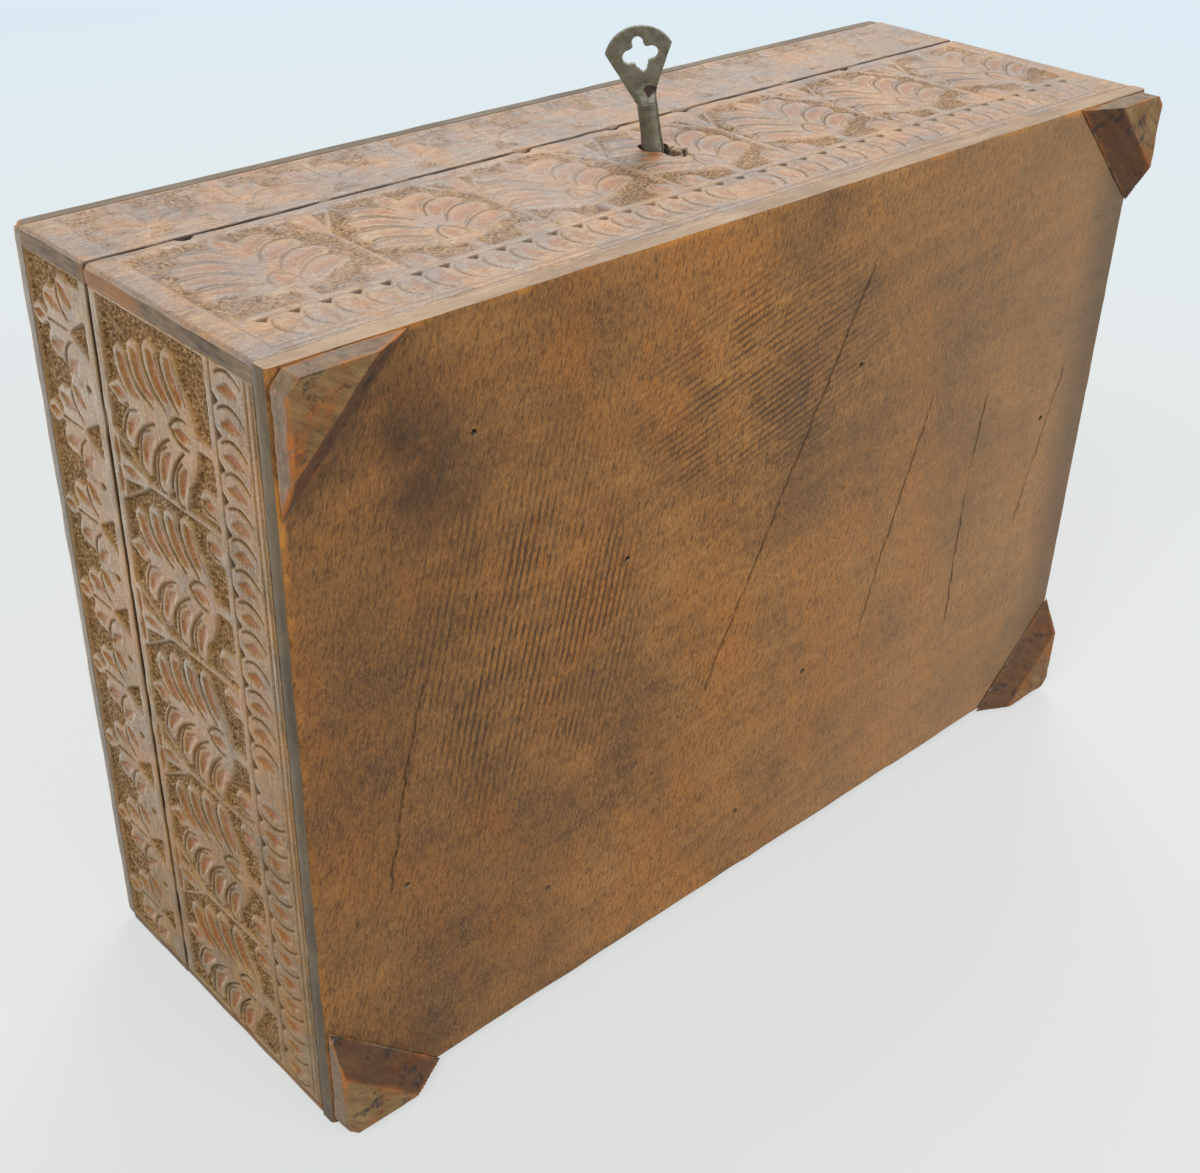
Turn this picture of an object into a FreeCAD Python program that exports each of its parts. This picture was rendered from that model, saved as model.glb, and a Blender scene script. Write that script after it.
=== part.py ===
import FreeCAD, Part
import os

import Sketcher

# Carved storage box with a deep lid, butt hinges, an inside lock and its key.
# Frame: the box stands on its feet, Z up, X to the right seen from the front, front at -Y.
# The origin is the centre of the footprint at the level of the feet. Lengths are in mm.

doc = FreeCAD.newDocument("storage_box")
sheet = doc.addObject("Spreadsheet::Sheet", "sizes")

# Driving dimensions, grouped by the piece that carries them
SIZES = {
    "box_length": 300.0,
    "box_width": 208.0,
    # feet, bottom board and walls
    "foot_height": 6.2,
    "foot_leg_top": 34.2,
    "foot_leg_bottom": 22.0,
    "foot_corner": 2.2,
    "board_thickness": 5.0,
    "board_edge_radius": 1.2,
    "wall_height": 64.7,
    "wall_thickness": 9.0,
    "front_lip": 4.6,
    "back_lip": 2.4,
    # lid
    "seam_gap": 0.3,
    "rail_height": 29.0,
    "top_thickness": 6.5,
    "top_edge_radius": 4.0,
    "top_corner_radius": 2.5,
    # carving
    "relief_depth": 1.3,
    "panel_rise": 18.7,
    "panel_height": 42.7,
    "panel_end_margin": 6.8,
    "side_panel_margin": 0.9,
    "band_rise": 2.2,
    "band_drop": 0.7,
    "top_border": 36.0,
    "top_row_height": 58.8,
    # brads
    "brad_radius": 0.7,
    "brad_length": 16.0,
    "brad_head_radius": 1.2,
    "brad_head_height": 0.6,
    "brad_sink": 0.5,
    "brad_clearance": 0.05,
    "top_brad_sink": 2.0,
    "foot_brad_length": 9.0,
    "foot_brad_inset": 6.0,
    # hinges
    "hinge_end_gap": 45.0,
    "hinge_length": 30.0,
    "hinge_axis_out": 0.8,
    "knuckle_radius": 2.4,
    "knuckle_length": 9.8,
    "leaf_thickness": 1.1,
    "leaf_width": 8.0,
    "pin_radius": 1.1,
    "pin_clearance": 0.05,
    "running_clearance": 0.3,
    "leaf_side_clearance": 0.1,
    "leaf_screw_pitch": 10.0,
    "leaf_screw_inset": 4.6,
    "leaf_screw_length": 8.0,
    "screw_radius": 0.8,
    "screw_head_radius": 1.6,
    "screw_head_height": 0.8,
    "screw_slot_width": 0.4,
    "screw_slot_depth": 0.35,
    "screw_clearance": 0.05,
    # lock
    "key_drop": 18.5,
    "plate_side_margin": 6.0,
    "plate_height": 38.0,
    "plate_drop": 0.5,
    "plate_thickness": 1.5,
    "plate_screw_inset": 3.2,
    "plate_screw_length": 6.0,
    "case_width": 48.0,
    "case_drop": 1.0,
    "case_height": 33.0,
    "case_depth": 9.0,
    "case_sheet": 1.0,
    "bolt_lift": 5.0,
    "bolt_height": 8.6,
    "bolt_thickness": 2.4,
    "bolt_end_gap": 1.0,
    "bolt_shoulder": 4.0,
    "bolt_head_end": 12.5,
    "bolt_head_height": 5.0,
    "bolt_head_rise": 2.1,
    "bolt_travel": 10.0,
    "bolt_back": 2.5,
    "talon_width": 5.2,
    "talon_depth": 4.2,
    "slide_clearance": 0.15,
    "guide_radius": 0.9,
    "slot_end_wall": 1.05,
    "guide_tail_rise": 4.3,
    "guide_head_place": 10.3,
    "spring_thickness": 0.5,
    "spring_width": 3.0,
    "spring_foot_length": 6.0,
    "spring_reach": 18.0,
    "spring_end_gap": 2.0,
    "drill_pin_radius": 1.2,
    "drill_pin_length": 13.5,
    "drill_pin_clearance": 0.06,
    # striker on the lid
    "eye_place": 13.5,
    "eye_width": 3.0,
    "eye_depth": 5.6,
    "eye_reach": 13.7,
    "eye_cheek": 1.2,
    "striker_width": 24.0,
    "striker_height": 15.0,
    "striker_rise": 1.0,
    "striker_thickness": 1.4,
    "striker_arm_height": 4.5,
    "striker_plate_gap": 0.9,
    "striker_screw_inset": 4.0,
    # keyhole and key
    "keyhole_radius": 4.0,
    "keyhole_slot_width": 3.4,
    "keyhole_slot_depth": 9.2,
    "shank_radius": 2.9,
    "shank_neck_radius": 2.0,
    "shank_reach": 11.6,
    "collar_height": 1.2,
    "collar_radius": 2.35,
    "shank_end_gap": 0.5,
    "shank_bore_margin": 0.5,
    "shank_seam_width": 0.5,
    "shank_seam_depth": 0.5,
    "bit_radius": 8.5,
    "bit_thickness": 2.2,
    "bit_width": 6.2,
    "bit_root": 2.6,
    "bit_step_depth": 1.4,
    "bit_step_width": 1.6,
    "key_rest_angle": 49.5,
    "bow_sheet": 1.2,
    "bow_width": 17.0,
    "bow_height": 18.4,
    "bow_shoulder_height": 13.0,
    "bow_neck_width": 4.0,
    "bow_lean": 12.0,
    "tang_width": 2.4,
    "tang_depth": 3.0,
    "tang_clearance": 0.05,
    "quatrefoil_rise": 12.0,
    "lobe_radius": 1.75,
    "lobe_offset": 2.75,
    "quatrefoil_core": 3.0,
}

for row, (alias, number) in enumerate(SIZES.items(), start=1):
    sheet.set(f"A{row}", alias)
    sheet.set(f"B{row}", str(number))
    sheet.setAlias(f"B{row}", alias)
doc.recompute()


def sized(text):
    """Write an expression on the sheet's sizes: every word that is a size gets the sheet's name."""
    words = []
    word = ""
    for letter in text + " ":
        if letter.isalnum() or letter == "_":
            word += letter
            continue
        words.append(f"sizes.{word}" if word in SIZES else word)
        words.append(letter)
        word = ""
    return "".join(words).strip()


def value(text):
    return float(sheet.evalExpression(sized(text)))


# Levels and faces that several pieces share, as expressions
HALF_LENGTH = "box_length / 2"
HALF_WIDTH = "box_width / 2"
WALL_BASE = "(foot_height + board_thickness)"
WALL_TOP = f"({WALL_BASE} + wall_height)"
LID_BASE = f"({WALL_TOP} + seam_gap)"
TOP_BASE = f"({LID_BASE} + rail_height)"
SEAM = f"({WALL_TOP} + seam_gap / 2)"
FRONT = f"(0 - {HALF_WIDTH})"
BACK = f"({HALF_WIDTH})"
FRONT_INSIDE = f"({FRONT} + wall_thickness)"
BACK_INSIDE = f"({BACK} - wall_thickness)"
LEFT = f"(0 - {HALF_LENGTH})"
RIGHT = f"({HALF_LENGTH})"
KEY_LEVEL = f"({WALL_TOP} - key_drop)"
HINGE_Y = f"({BACK} + hinge_axis_out)"

ALONG_X = FreeCAD.Rotation(FreeCAD.Vector(0, 1, 0), 90)
ALONG_Y = FreeCAD.Rotation(FreeCAD.Vector(1, 0, 0), -90)
AGAINST_Y = FreeCAD.Rotation(FreeCAD.Vector(1, 0, 0), 90)
ALONG_Z = FreeCAD.Rotation()
AGAINST_Z = FreeCAD.Rotation(FreeCAD.Vector(1, 0, 0), 180)

pieces = []


def place(item, x, y, z, rotation=ALONG_Z):
    item.Placement = FreeCAD.Placement(FreeCAD.Vector(), rotation)
    for axis, text in zip("xyz", (x, y, z)):
        item.setExpression(f"Placement.Base.{axis}", sized(text))
    return item


def piece(item, label):
    item.Label = label
    pieces.append(item)
    return item


def block(name, size, corner):
    box = doc.addObject("Part::Box", name)
    for side, text in zip(("Length", "Width", "Height"), size):
        box.setExpression(side, sized(text))
    return place(box, *corner)


def rod(name, radius, length, start, rotation):
    cylinder = doc.addObject("Part::Cylinder", name)
    cylinder.setExpression("Radius", sized(radius))
    cylinder.setExpression("Height", sized(length))
    return place(cylinder, *start, rotation)


def cone(name, first_radius, last_radius, length, start, rotation):
    taper = doc.addObject("Part::Cone", name)
    taper.setExpression("Radius1", sized(first_radius))
    taper.setExpression("Radius2", sized(last_radius))
    taper.setExpression("Height", sized(length))
    return place(taper, *start, rotation)


def joined(name, items):
    whole = doc.addObject("Part::MultiFuse", name)
    whole.Shapes = items
    return whole


def group(name, items):
    several = doc.addObject("Part::Compound", name)
    several.Links = items
    return several


def cut(name, base, tools):
    rest = doc.addObject("Part::Cut", name)
    rest.Base = base
    rest.Tool = tools[0] if len(tools) == 1 else group(f"{name}_tools", tools)
    return rest


def origin_plane(body, role):
    return next(item for item in body.Origin.OriginFeatures if item.Role == role)


def sketch_on(body, name, role, offset="0"):
    sketch = body.newObject("Sketcher::SketchObject", name)
    sketch.AttachmentSupport = [(origin_plane(body, role), "")]
    sketch.MapMode = "FlatFace"
    sketch.setExpression("AttachmentOffset.Base.z", sized(offset))
    return sketch


def pin_point(sketch, edge, end, x, y):
    for kind, text in (("DistanceX", x), ("DistanceY", y)):
        index = sketch.addConstraint(
            Sketcher.Constraint(kind, -1, 1, edge, end, value(text))
        )
        sketch.setExpression(f"Constraints[{index}]", sized(text))


def draw_outline(sketch, points):
    """A closed outline of straight edges through points given as pairs of expressions."""
    corners = [FreeCAD.Vector(value(x), value(y), 0) for x, y in points]
    count = len(points)
    first = sketch.GeometryCount
    for index in range(count):
        edge = Part.LineSegment(corners[index], corners[(index + 1) % count])
        sketch.addGeometry(edge, False)
    for index in range(count):
        after = first + (index + 1) % count
        sketch.addConstraint(Sketcher.Constraint("Coincident", first + index, 2, after, 1))
    for index, (x, y) in enumerate(points):
        pin_point(sketch, first + index, 1, x, y)


def draw_rectangle(sketch, x0, y0, x1, y1):
    draw_outline(sketch, [(x0, y0), (x1, y0), (x1, y1), (x0, y1)])


def pad(body, name, sketch, length, midplane=False):
    feature = body.newObject("PartDesign::Pad", name)
    feature.Profile = sketch
    feature.setExpression("Length", sized(length))
    feature.Midplane = midplane
    doc.recompute()
    return feature


def pocket(body, name, sketch, length, midplane=False, reversed_side=False):
    before = body.Shape.Volume
    feature = body.newObject("PartDesign::Pocket", name)
    feature.Profile = sketch
    feature.setExpression("Length", sized(length))
    feature.Midplane = midplane
    feature.Reversed = reversed_side
    doc.recompute()
    if body.Shape.Volume >= before:
        raise RuntimeError(f"{name} removes nothing")
    return feature


def round_edges(body, name, base, edges, radius):
    feature = body.newObject("PartDesign::Fillet", name)
    feature.Base = (base, edges)
    feature.setExpression("Radius", sized(radius))
    doc.recompute()
    return feature


def edges_where(shape, test):
    return [f"Edge{index + 1}" for index, edge in enumerate(shape.Edges) if test(edge)]


def is_upright(edge):
    box = edge.BoundBox
    return box.XLength + box.YLength < box.ZLength / 2


# Brads: round shank and a flat head, punched below the surface of the wood
def brad(name, start, rotation, length="brad_length", clearance="0", sink="brad_sink"):
    """A brad whose head is sunk, or, with a clearance, the hole that it leaves in the wood."""
    direction = rotation.multVec(FreeCAD.Vector(0, 0, 1))
    signs = (round(direction.x), round(direction.y), round(direction.z))
    steps = [f"{text} + ({sign}) * {sink}" for text, sign in zip(start, signs)]
    if clearance == "0":
        head = rod(f"{name}_head", "brad_head_radius", "brad_head_height", steps, rotation)
        shank = rod(f"{name}_shank", "brad_radius", length, steps, rotation)
    else:
        wide = f"brad_head_radius + {clearance}"
        narrow = f"brad_radius + {clearance}"
        head = rod(f"{name}_head", wide, f"{sink} + brad_head_height", start, rotation)
        shank = rod(f"{name}_shank", narrow, f"{sink} + {length} + {clearance}", start, rotation)
    return joined(name, [head, shank])


def brads_with_holes(label, places, **options):
    """One node of like brads, and the holes that they stand in."""
    nails = []
    holes = []
    for number, (start, rotation) in enumerate(places, start=1):
        nails.append(brad(f"{label}_{number}", start, rotation, **options))
        name = f"{label}_hole_{number}"
        holes.append(brad(name, start, rotation, clearance="brad_clearance", **options))
    piece(group(f"{label}_group", nails), label)
    return holes


SIDE_SIGNS = {"left": "-1", "right": "1"}


def corner_brad_places(height_shares, base, height):
    """Through the lips of the front and back boards into the end grain of the side boards."""
    places = []
    for sign in SIDE_SIGNS.values():
        x = f"({sign}) * ({HALF_LENGTH} - wall_thickness / 2)"
        for share in height_shares:
            z = f"{base} + {share} * {height}"
            places.append(((x, FRONT, z), ALONG_Y))
            places.append(((x, BACK, z), AGAINST_Y))
    return places


# Walls of the box and rails of the lid: the front and back boards run the full length and
# lap over the ends of the side boards, which sit in rebates
def long_board(name, back_side, base, height):
    lip = "back_lip" if back_side else "front_lip"
    y = BACK_INSIDE if back_side else FRONT
    board = block(f"{name}_board", ("box_length", "wall_thickness", height), (LEFT, y, base))
    depth = f"wall_thickness - {lip}"
    rebate_y = BACK_INSIDE if back_side else f"{FRONT} + {lip}"
    rebates = []
    for side, x in (("left", LEFT), ("right", f"{RIGHT} - wall_thickness")):
        size = ("wall_thickness", depth, height)
        rebates.append(block(f"{name}_rebate_{side}", size, (x, rebate_y, base)))
    return board, rebates


def side_board(name, side, base, height):
    x = LEFT if side == "left" else f"{RIGHT} - wall_thickness"
    size = ("wall_thickness", "box_width - front_lip - back_lip", height)
    return block(f"{name}_board", size, (x, f"{FRONT} + front_lip", base))


# Hinge places, left and right
HINGE_PLACE = f"({HALF_LENGTH} - hinge_end_gap - hinge_length / 2)"
HINGES = {"left": f"(0 - {HINGE_PLACE})", "right": HINGE_PLACE}


def hinge_mortises(name, upper):
    """Seats of the leaves and grooves for the knuckles, in the wall's top or the rail's base."""
    tools = []
    for side, centre in HINGES.items():
        start = f"{centre} - hinge_length / 2 - leaf_side_clearance"
        length = "hinge_length + 2 * leaf_side_clearance"
        y = f"{BACK} - leaf_width - leaf_side_clearance"
        z = LID_BASE if upper else f"{WALL_TOP} - leaf_thickness"
        size = (length, "leaf_width + leaf_side_clearance", "leaf_thickness")
        tools.append(block(f"{name}_seat_{side}", size, (start, y, z)))
        groove_start = f"{centre} - hinge_length / 2 - running_clearance"
        groove_length = "hinge_length + 2 * running_clearance"
        wide = "knuckle_radius + running_clearance"
        corner = (groove_start, HINGE_Y, SEAM)
        tools.append(rod(f"{name}_groove_{side}", wide, groove_length, corner, ALONG_X))
    return tools


# Screws: countersunk head with a slot, straight shank
def screw(name, start, rotation, length, slotted=True, clearance="0"):
    """A screw whose head is flush at start, or, with a clearance, its hole."""
    head = cone(
        f"{name}_head",
        f"screw_head_radius + {clearance}",
        f"screw_radius + {clearance}",
        f"screw_head_height + {clearance}",
        start,
        rotation,
    )
    narrow = f"screw_radius + {clearance}"
    shank = rod(f"{name}_shank", narrow, f"{length} + {clearance}", start, rotation)
    whole = joined(name, [head, shank])
    if not slotted:
        return whole
    direction = rotation.multVec(FreeCAD.Vector(0, 0, 1))
    sizes = ["2 * screw_head_radius", "screw_slot_width", "2 * screw_slot_depth"]
    if abs(round(direction.y)) == 1:
        sizes = ["2 * screw_head_radius", "2 * screw_slot_depth", "screw_slot_width"]
    corner = [f"{text} - ({size}) / 2" for text, size in zip(start, sizes)]
    slot = block(f"{name}_slot", sizes, corner)
    return cut(f"{name}_slotted", whole, [slot])


def screws_with_holes(label, places, length):
    screws = []
    holes = []
    for number, (start, rotation) in enumerate(places, start=1):
        screws.append(screw(f"{label}_{number}", start, rotation, length))
        name = f"{label}_hole_{number}"
        holes.append(screw(name, start, rotation, length, False, "screw_clearance"))
    piece(group(f"{label}_group", screws), label)
    return holes


def leaf_screw_places(upper):
    places = []
    z = LID_BASE if upper else WALL_TOP
    for centre in HINGES.values():
        for step in ("-1", "0", "1"):
            x = f"{centre} + ({step}) * leaf_screw_pitch"
            y = f"{BACK} - leaf_screw_inset"
            places.append(((x, y, z), ALONG_Z if upper else AGAINST_Z))
    return places


PLATE_WIDTH = "(case_width + 2 * plate_side_margin)"


def plate_screw_places():
    places = []
    for across in ("-1", "1"):
        x = f"({across}) * ({PLATE_WIDTH} / 2 - plate_screw_inset)"
        for z in ("plate_screw_inset", "plate_height - plate_screw_inset"):
            level = f"{WALL_TOP} - plate_drop - plate_height + {z}"
            places.append(((x, f"{FRONT_INSIDE} + plate_thickness", level), AGAINST_Y))
    return places


def striker_screw_places():
    places = []
    for across in ("-1", "1"):
        x = f"eye_place + ({across}) * (striker_width / 2 - striker_screw_inset)"
        z = f"{LID_BASE} + striker_rise + striker_height - striker_screw_inset"
        places.append(((x, f"{FRONT_INSIDE} + striker_thickness", z), AGAINST_Y))
    return places


# Fixings come first, because the boards are drilled for them
WALL_BRAD_HEIGHT_SHARES = (0.16, 0.5, 0.84)
RAIL_BRAD_HEIGHT_SHARES = (0.3, 0.7)
BOARD_BRAD_LENGTH_SHARES = (0.25, 0.5, 0.75)
BOARD_BRAD_WIDTH_SHARES = (0.35, 0.65)

wall_brad_holes = brads_with_holes(
    "wall_brads", corner_brad_places(WALL_BRAD_HEIGHT_SHARES, WALL_BASE, "wall_height")
)
rail_brad_holes = brads_with_holes(
    "lid_rail_brads", corner_brad_places(RAIL_BRAD_HEIGHT_SHARES, LID_BASE, "rail_height")
)


def rim_brad_places(z, rotation):
    """Brads over the middle of the walls' thickness, along all four sides."""
    places = []
    for sign in ("-1", "1"):
        y = f"({sign}) * ({HALF_WIDTH} - wall_thickness / 2)"
        for share in BOARD_BRAD_LENGTH_SHARES:
            places.append(((f"{LEFT} + {share} * box_length", y, z), rotation))
        x = f"({sign}) * ({HALF_LENGTH} - wall_thickness / 2)"
        for share in BOARD_BRAD_WIDTH_SHARES:
            places.append(((x, f"{FRONT} + {share} * box_width", z), rotation))
    return places


bottom_brad_holes = brads_with_holes("bottom_brads", rim_brad_places("foot_height", ALONG_Z))
top_brad_holes = brads_with_holes(
    "lid_top_brads",
    rim_brad_places(f"{TOP_BASE} + top_thickness", AGAINST_Z),
    sink="top_brad_sink",
)


def foot_brad_places():
    """Two brads in each foot, one near each outer face."""
    insets = ("foot_brad_inset", "2 * foot_brad_inset")
    places = []
    for across in ("-1", "1"):
        for along in ("-1", "1"):
            for from_end, from_side in (insets, insets[::-1]):
                x = f"({across}) * ({HALF_LENGTH} - {from_end})"
                y = f"({along}) * ({HALF_WIDTH} - {from_side})"
                places.append(((x, y, "0"), ALONG_Z))
    return places


foot_brad_holes = brads_with_holes("foot_brads", foot_brad_places(), length="foot_brad_length")
lower_screw_holes = screws_with_holes(
    "hinge_lower_screws", leaf_screw_places(False), "leaf_screw_length"
)
upper_screw_holes = screws_with_holes(
    "hinge_upper_screws", leaf_screw_places(True), "leaf_screw_length"
)
lock_screw_holes = screws_with_holes("lock_screws", plate_screw_places(), "plate_screw_length")
striker_screw_holes = screws_with_holes(
    "striker_screws", striker_screw_places(), "plate_screw_length"
)

all_wall_holes = wall_brad_holes + bottom_brad_holes
all_rail_holes = rail_brad_holes + top_brad_holes


# Carving, in its main forms: leaves, stems and buds stand on a ground that is sunk round them.
# The outlines are shares of the height of their panel, and stand on its lower edge.
LEAF_HALF_SHARES = [
    (0.035, -0.02), (0.035, 0.129), (0.159, 0.157), (0.300, 0.260), (0.372, 0.340),
    (0.361, 0.415), (0.272, 0.433), (0.358, 0.499), (0.347, 0.583), (0.244, 0.585),
    (0.314, 0.653), (0.286, 0.728), (0.187, 0.721), (0.255, 0.808), (0.215, 0.874),
    (0.131, 0.836), (0.052, 0.710),
]
LEAF_BUD_HALF_SHARES = [(0.012, 0.785), (0.061, 0.845), (0.056, 0.905), (0.012, 0.965)]
STEM_HALF_SHARES = [(0.021, -0.02), (0.021, 0.67), (0.236, 1.02)]
DOME_HALF_SHARES = [(0.075, -0.02), (0.075, 0.096), (0.033, 0.155)]
DOME_PLACE_SHARE = 0.129
# The band round the lid: a valley below each bud, and the ground above between two buds
VALLEY_HALF_SHARES = [(0.172, 0.0), (0.066, 0.117), (0.012, 0.283)]
BAND_GROUND_HALF_SHARES = [
    (0.107, 1.0), (0.107, 0.724), (0.207, 0.690), (0.297, 0.566), (0.317, 0.448),
]
BAND_GROUND_FOOT_SHARE = 0.362
# Places along the boards, as shares of the box's length or width
FRONT_LEAF_SHARES = (-0.408, -0.260, -0.129, 0.013, 0.151, 0.284, 0.425)
FRONT_STEM_SHARES = (-0.332, -0.190, -0.054, 0.081, 0.222, 0.354)
BACK_LEAF_SHARES = (-0.414, -0.276, -0.138, 0.0, 0.138, 0.276, 0.414)
BACK_STEM_SHARES = (-0.345, -0.207, -0.069, 0.069, 0.207, 0.345)
SIDE_LEAF_SHARES = (-0.397, -0.203, -0.014, 0.179, 0.370)
SIDE_STEM_SHARES = (-0.299, -0.108, 0.083, 0.277)
FRONT_VALLEY_SHARES = (
    -0.505, -0.425, -0.343, -0.262, -0.181, -0.095, -0.007, 0.073, 0.149, 0.227, 0.305, 0.381,
    0.448, 0.530,
)
BACK_VALLEY_SHARES = (
    -0.492, -0.410, -0.328, -0.246, -0.164, -0.082, 0.0, 0.082, 0.164, 0.246, 0.328, 0.410, 0.492,
)
SIDE_VALLEY_SHARES = (
    -0.546, -0.424, -0.301, -0.177, -0.061, 0.050, 0.167, 0.288, 0.406, 0.528,
)
TOP_LEAF_SHARES = (-0.375, -0.125, 0.125, 0.375)
TOP_STEM_SHARES = (-0.25, 0.0, 0.25)

# A tool's own X runs along the board, its Y up the board and its Z out of the face
FACING = {
    "front": AGAINST_Y,
    "back": FreeCAD.Rotation(ALONG_Z.Axis, 180).multiply(AGAINST_Y),
    "left": FreeCAD.Rotation(ALONG_Z.Axis, -90).multiply(AGAINST_Y),
    "right": FreeCAD.Rotation(ALONG_Z.Axis, 90).multiply(AGAINST_Y),
    "top": ALONG_Z,
}


def flat_face(points):
    corners = [FreeCAD.Vector(x, y, 0) for x, y in points]
    return Part.Face(Part.makePolygon(corners + corners[:1]))


def both_halves(half_shares, centre, low, unit):
    """The closed outline whose right half is given, at its place on the board."""
    right = [(centre + x * unit, low + y * unit) for x, y in half_shares]
    left = [(centre - x * unit, low + y * unit) for x, y in reversed(half_shares)]
    return flat_face(right + left)


def carving_tool(name, ground, side, place_of_face):
    """What is cut away to sink the ground: its outline as deep as the relief."""
    depth = value("relief_depth")
    ground.translate(FreeCAD.Vector(0, 0, -depth))
    tool = doc.addObject("Part::Feature", name)
    tool.Shape = ground.extrude(FreeCAD.Vector(0, 0, 2 * depth))
    return place(tool, *place_of_face, FACING[side])


def leaf_ground(left, right, low, height, leaves, stems):
    """The ground of a panel, between its leaves and stems."""
    panel = flat_face([(left, low), (right, low), (right, low + height), (left, low + height)])
    standing = []
    for centre in leaves:
        standing.append(both_halves(LEAF_HALF_SHARES, centre, low, height))
        standing.append(both_halves(LEAF_BUD_HALF_SHARES, centre, low, height))
    for centre in stems:
        standing.append(both_halves(STEM_HALF_SHARES, centre, low, height))
        for offset in (-DOME_PLACE_SHARE * height, DOME_PLACE_SHARE * height):
            standing.append(both_halves(DOME_HALF_SHARES, centre + offset, low, height))
    return panel.cut(standing)


def band_ground(left, right, height, valleys):
    """The ground of the lid's band: a valley below each bud and a hollow between two buds."""
    band = flat_face([(left, 0), (right, 0), (right, height), (left, height)])
    sunk = [both_halves(VALLEY_HALF_SHARES, centre, 0, height) for centre in valleys]
    for first, second in zip(valleys, valleys[1:]):
        down = [(first + x * height, y * height) for x, y in BAND_GROUND_HALF_SHARES]
        up = [(second - x * height, y * height) for x, y in reversed(BAND_GROUND_HALF_SHARES)]
        foot = ((first + second) / 2, BAND_GROUND_FOOT_SHARE * height)
        sunk.append(flat_face(down + [foot] + up))
    return band.common(Part.makeCompound(sunk))


BOARD_FACES = {
    "front": ("0", FRONT), "back": ("0", BACK), "left": (LEFT, "0"), "right": (RIGHT, "0"),
}


def board_span(side, face_length, end_margin):
    """The two ends of a carved panel, in its tool's own X."""
    half = value(f"{face_length} / 2 - {end_margin}")
    shift = {"front": "0", "back": "0", "left": "(back_lip - front_lip) / 2",
             "right": "(front_lip - back_lip) / 2"}[side]
    return value(shift) - half, value(shift) + half


def side_order(side, shares):
    """The right board is the left one's mirror image."""
    return [-share for share in reversed(shares)] if side == "right" else list(shares)


def wall_carving(side):
    long_side = side in ("front", "back")
    leaf_shares, stem_shares = {
        "front": (FRONT_LEAF_SHARES, FRONT_STEM_SHARES),
        "back": (BACK_LEAF_SHARES, BACK_STEM_SHARES),
    }.get(side, (SIDE_LEAF_SHARES, SIDE_STEM_SHARES))
    whole = value("box_length" if long_side else "box_width")
    face_length = "box_length" if long_side else "(box_width - front_lip - back_lip)"
    end_margin = "panel_end_margin" if long_side else "side_panel_margin"
    left, right = board_span(side, face_length, end_margin)
    leaves = [share * whole for share in side_order(side, leaf_shares)]
    stems = [share * whole for share in side_order(side, stem_shares)]
    ground = leaf_ground(left, right, 0, value("panel_height"), leaves, stems)
    face = (*BOARD_FACES[side], f"{WALL_BASE} + panel_rise")
    return carving_tool(f"{side}_wall_carving", ground, side, face)


def rail_carving(side):
    long_side = side in ("front", "back")
    valley_shares = {"front": FRONT_VALLEY_SHARES, "back": BACK_VALLEY_SHARES}.get(
        side, SIDE_VALLEY_SHARES
    )
    whole = value("box_length" if long_side else "box_width")
    face_length = "box_length" if long_side else "(box_width - front_lip - back_lip)"
    end_margin = "panel_end_margin" if long_side else "side_panel_margin"
    left, right = board_span(side, face_length, end_margin)
    valleys = [share * whole for share in side_order(side, valley_shares)]
    ground = band_ground(left, right, value("rail_height - band_rise - band_drop"), valleys)
    face = (*BOARD_FACES[side], f"{LID_BASE} + band_rise")
    return carving_tool(f"{side}_rail_carving", ground, side, face)


def top_carving():
    """Two rows of leaves that stand on the long sides of the border, tips to the middle."""
    length = value("box_length - 2 * top_border")
    height = value("top_row_height")
    low = value("top_border - box_width / 2")
    leaves = [share * length for share in TOP_LEAF_SHARES]
    stems = [share * length for share in TOP_STEM_SHARES]
    tools = []
    for name, turn in (("near", 0), ("far", 180)):
        ground = leaf_ground(-length / 2, length / 2, low, height, leaves, stems)
        ground.rotate(FreeCAD.Vector(), ALONG_Z.Axis, turn)
        face = ("0", "0", f"{TOP_BASE} + top_thickness")
        tools.append(carving_tool(f"top_carving_{name}", ground, "top", face))
    return tools


def keyhole(name, radius, slot_width, slot_depth, start_y, depth):
    """Round hole with a slot below it, for the key."""
    bore = rod(f"{name}_bore", radius, depth, ("0", start_y, KEY_LEVEL), ALONG_Y)
    slot_size = (slot_width, depth, slot_depth)
    slot_corner = (f"0 - {slot_width} / 2", start_y, f"{KEY_LEVEL} - {slot_depth}")
    slot = block(f"{name}_slot", slot_size, slot_corner)
    return joined(name, [bore, slot])


# Box walls
def make_walls():
    board, rebates = long_board("front_wall", False, WALL_BASE, "wall_height")
    opening = keyhole(
        "wall_keyhole",
        "keyhole_radius",
        "keyhole_slot_width",
        "keyhole_slot_depth",
        FRONT,
        "wall_thickness",
    )
    tools = rebates + [opening, wall_carving("front")] + all_wall_holes + lock_screw_holes
    piece(cut("front_wall_shape", board, tools), "front_wall")

    board, rebates = long_board("back_wall", True, WALL_BASE, "wall_height")
    tools = rebates + hinge_mortises("back_wall", False) + lower_screw_holes + all_wall_holes
    tools.append(wall_carving("back"))
    piece(cut("back_wall_shape", board, tools), "back_wall")

    for side in SIDE_SIGNS:
        board = side_board(f"{side}_wall", side, WALL_BASE, "wall_height")
        tools = all_wall_holes + [wall_carving(side)]
        piece(cut(f"{side}_wall_shape", board, tools), f"{side}_wall")


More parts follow.
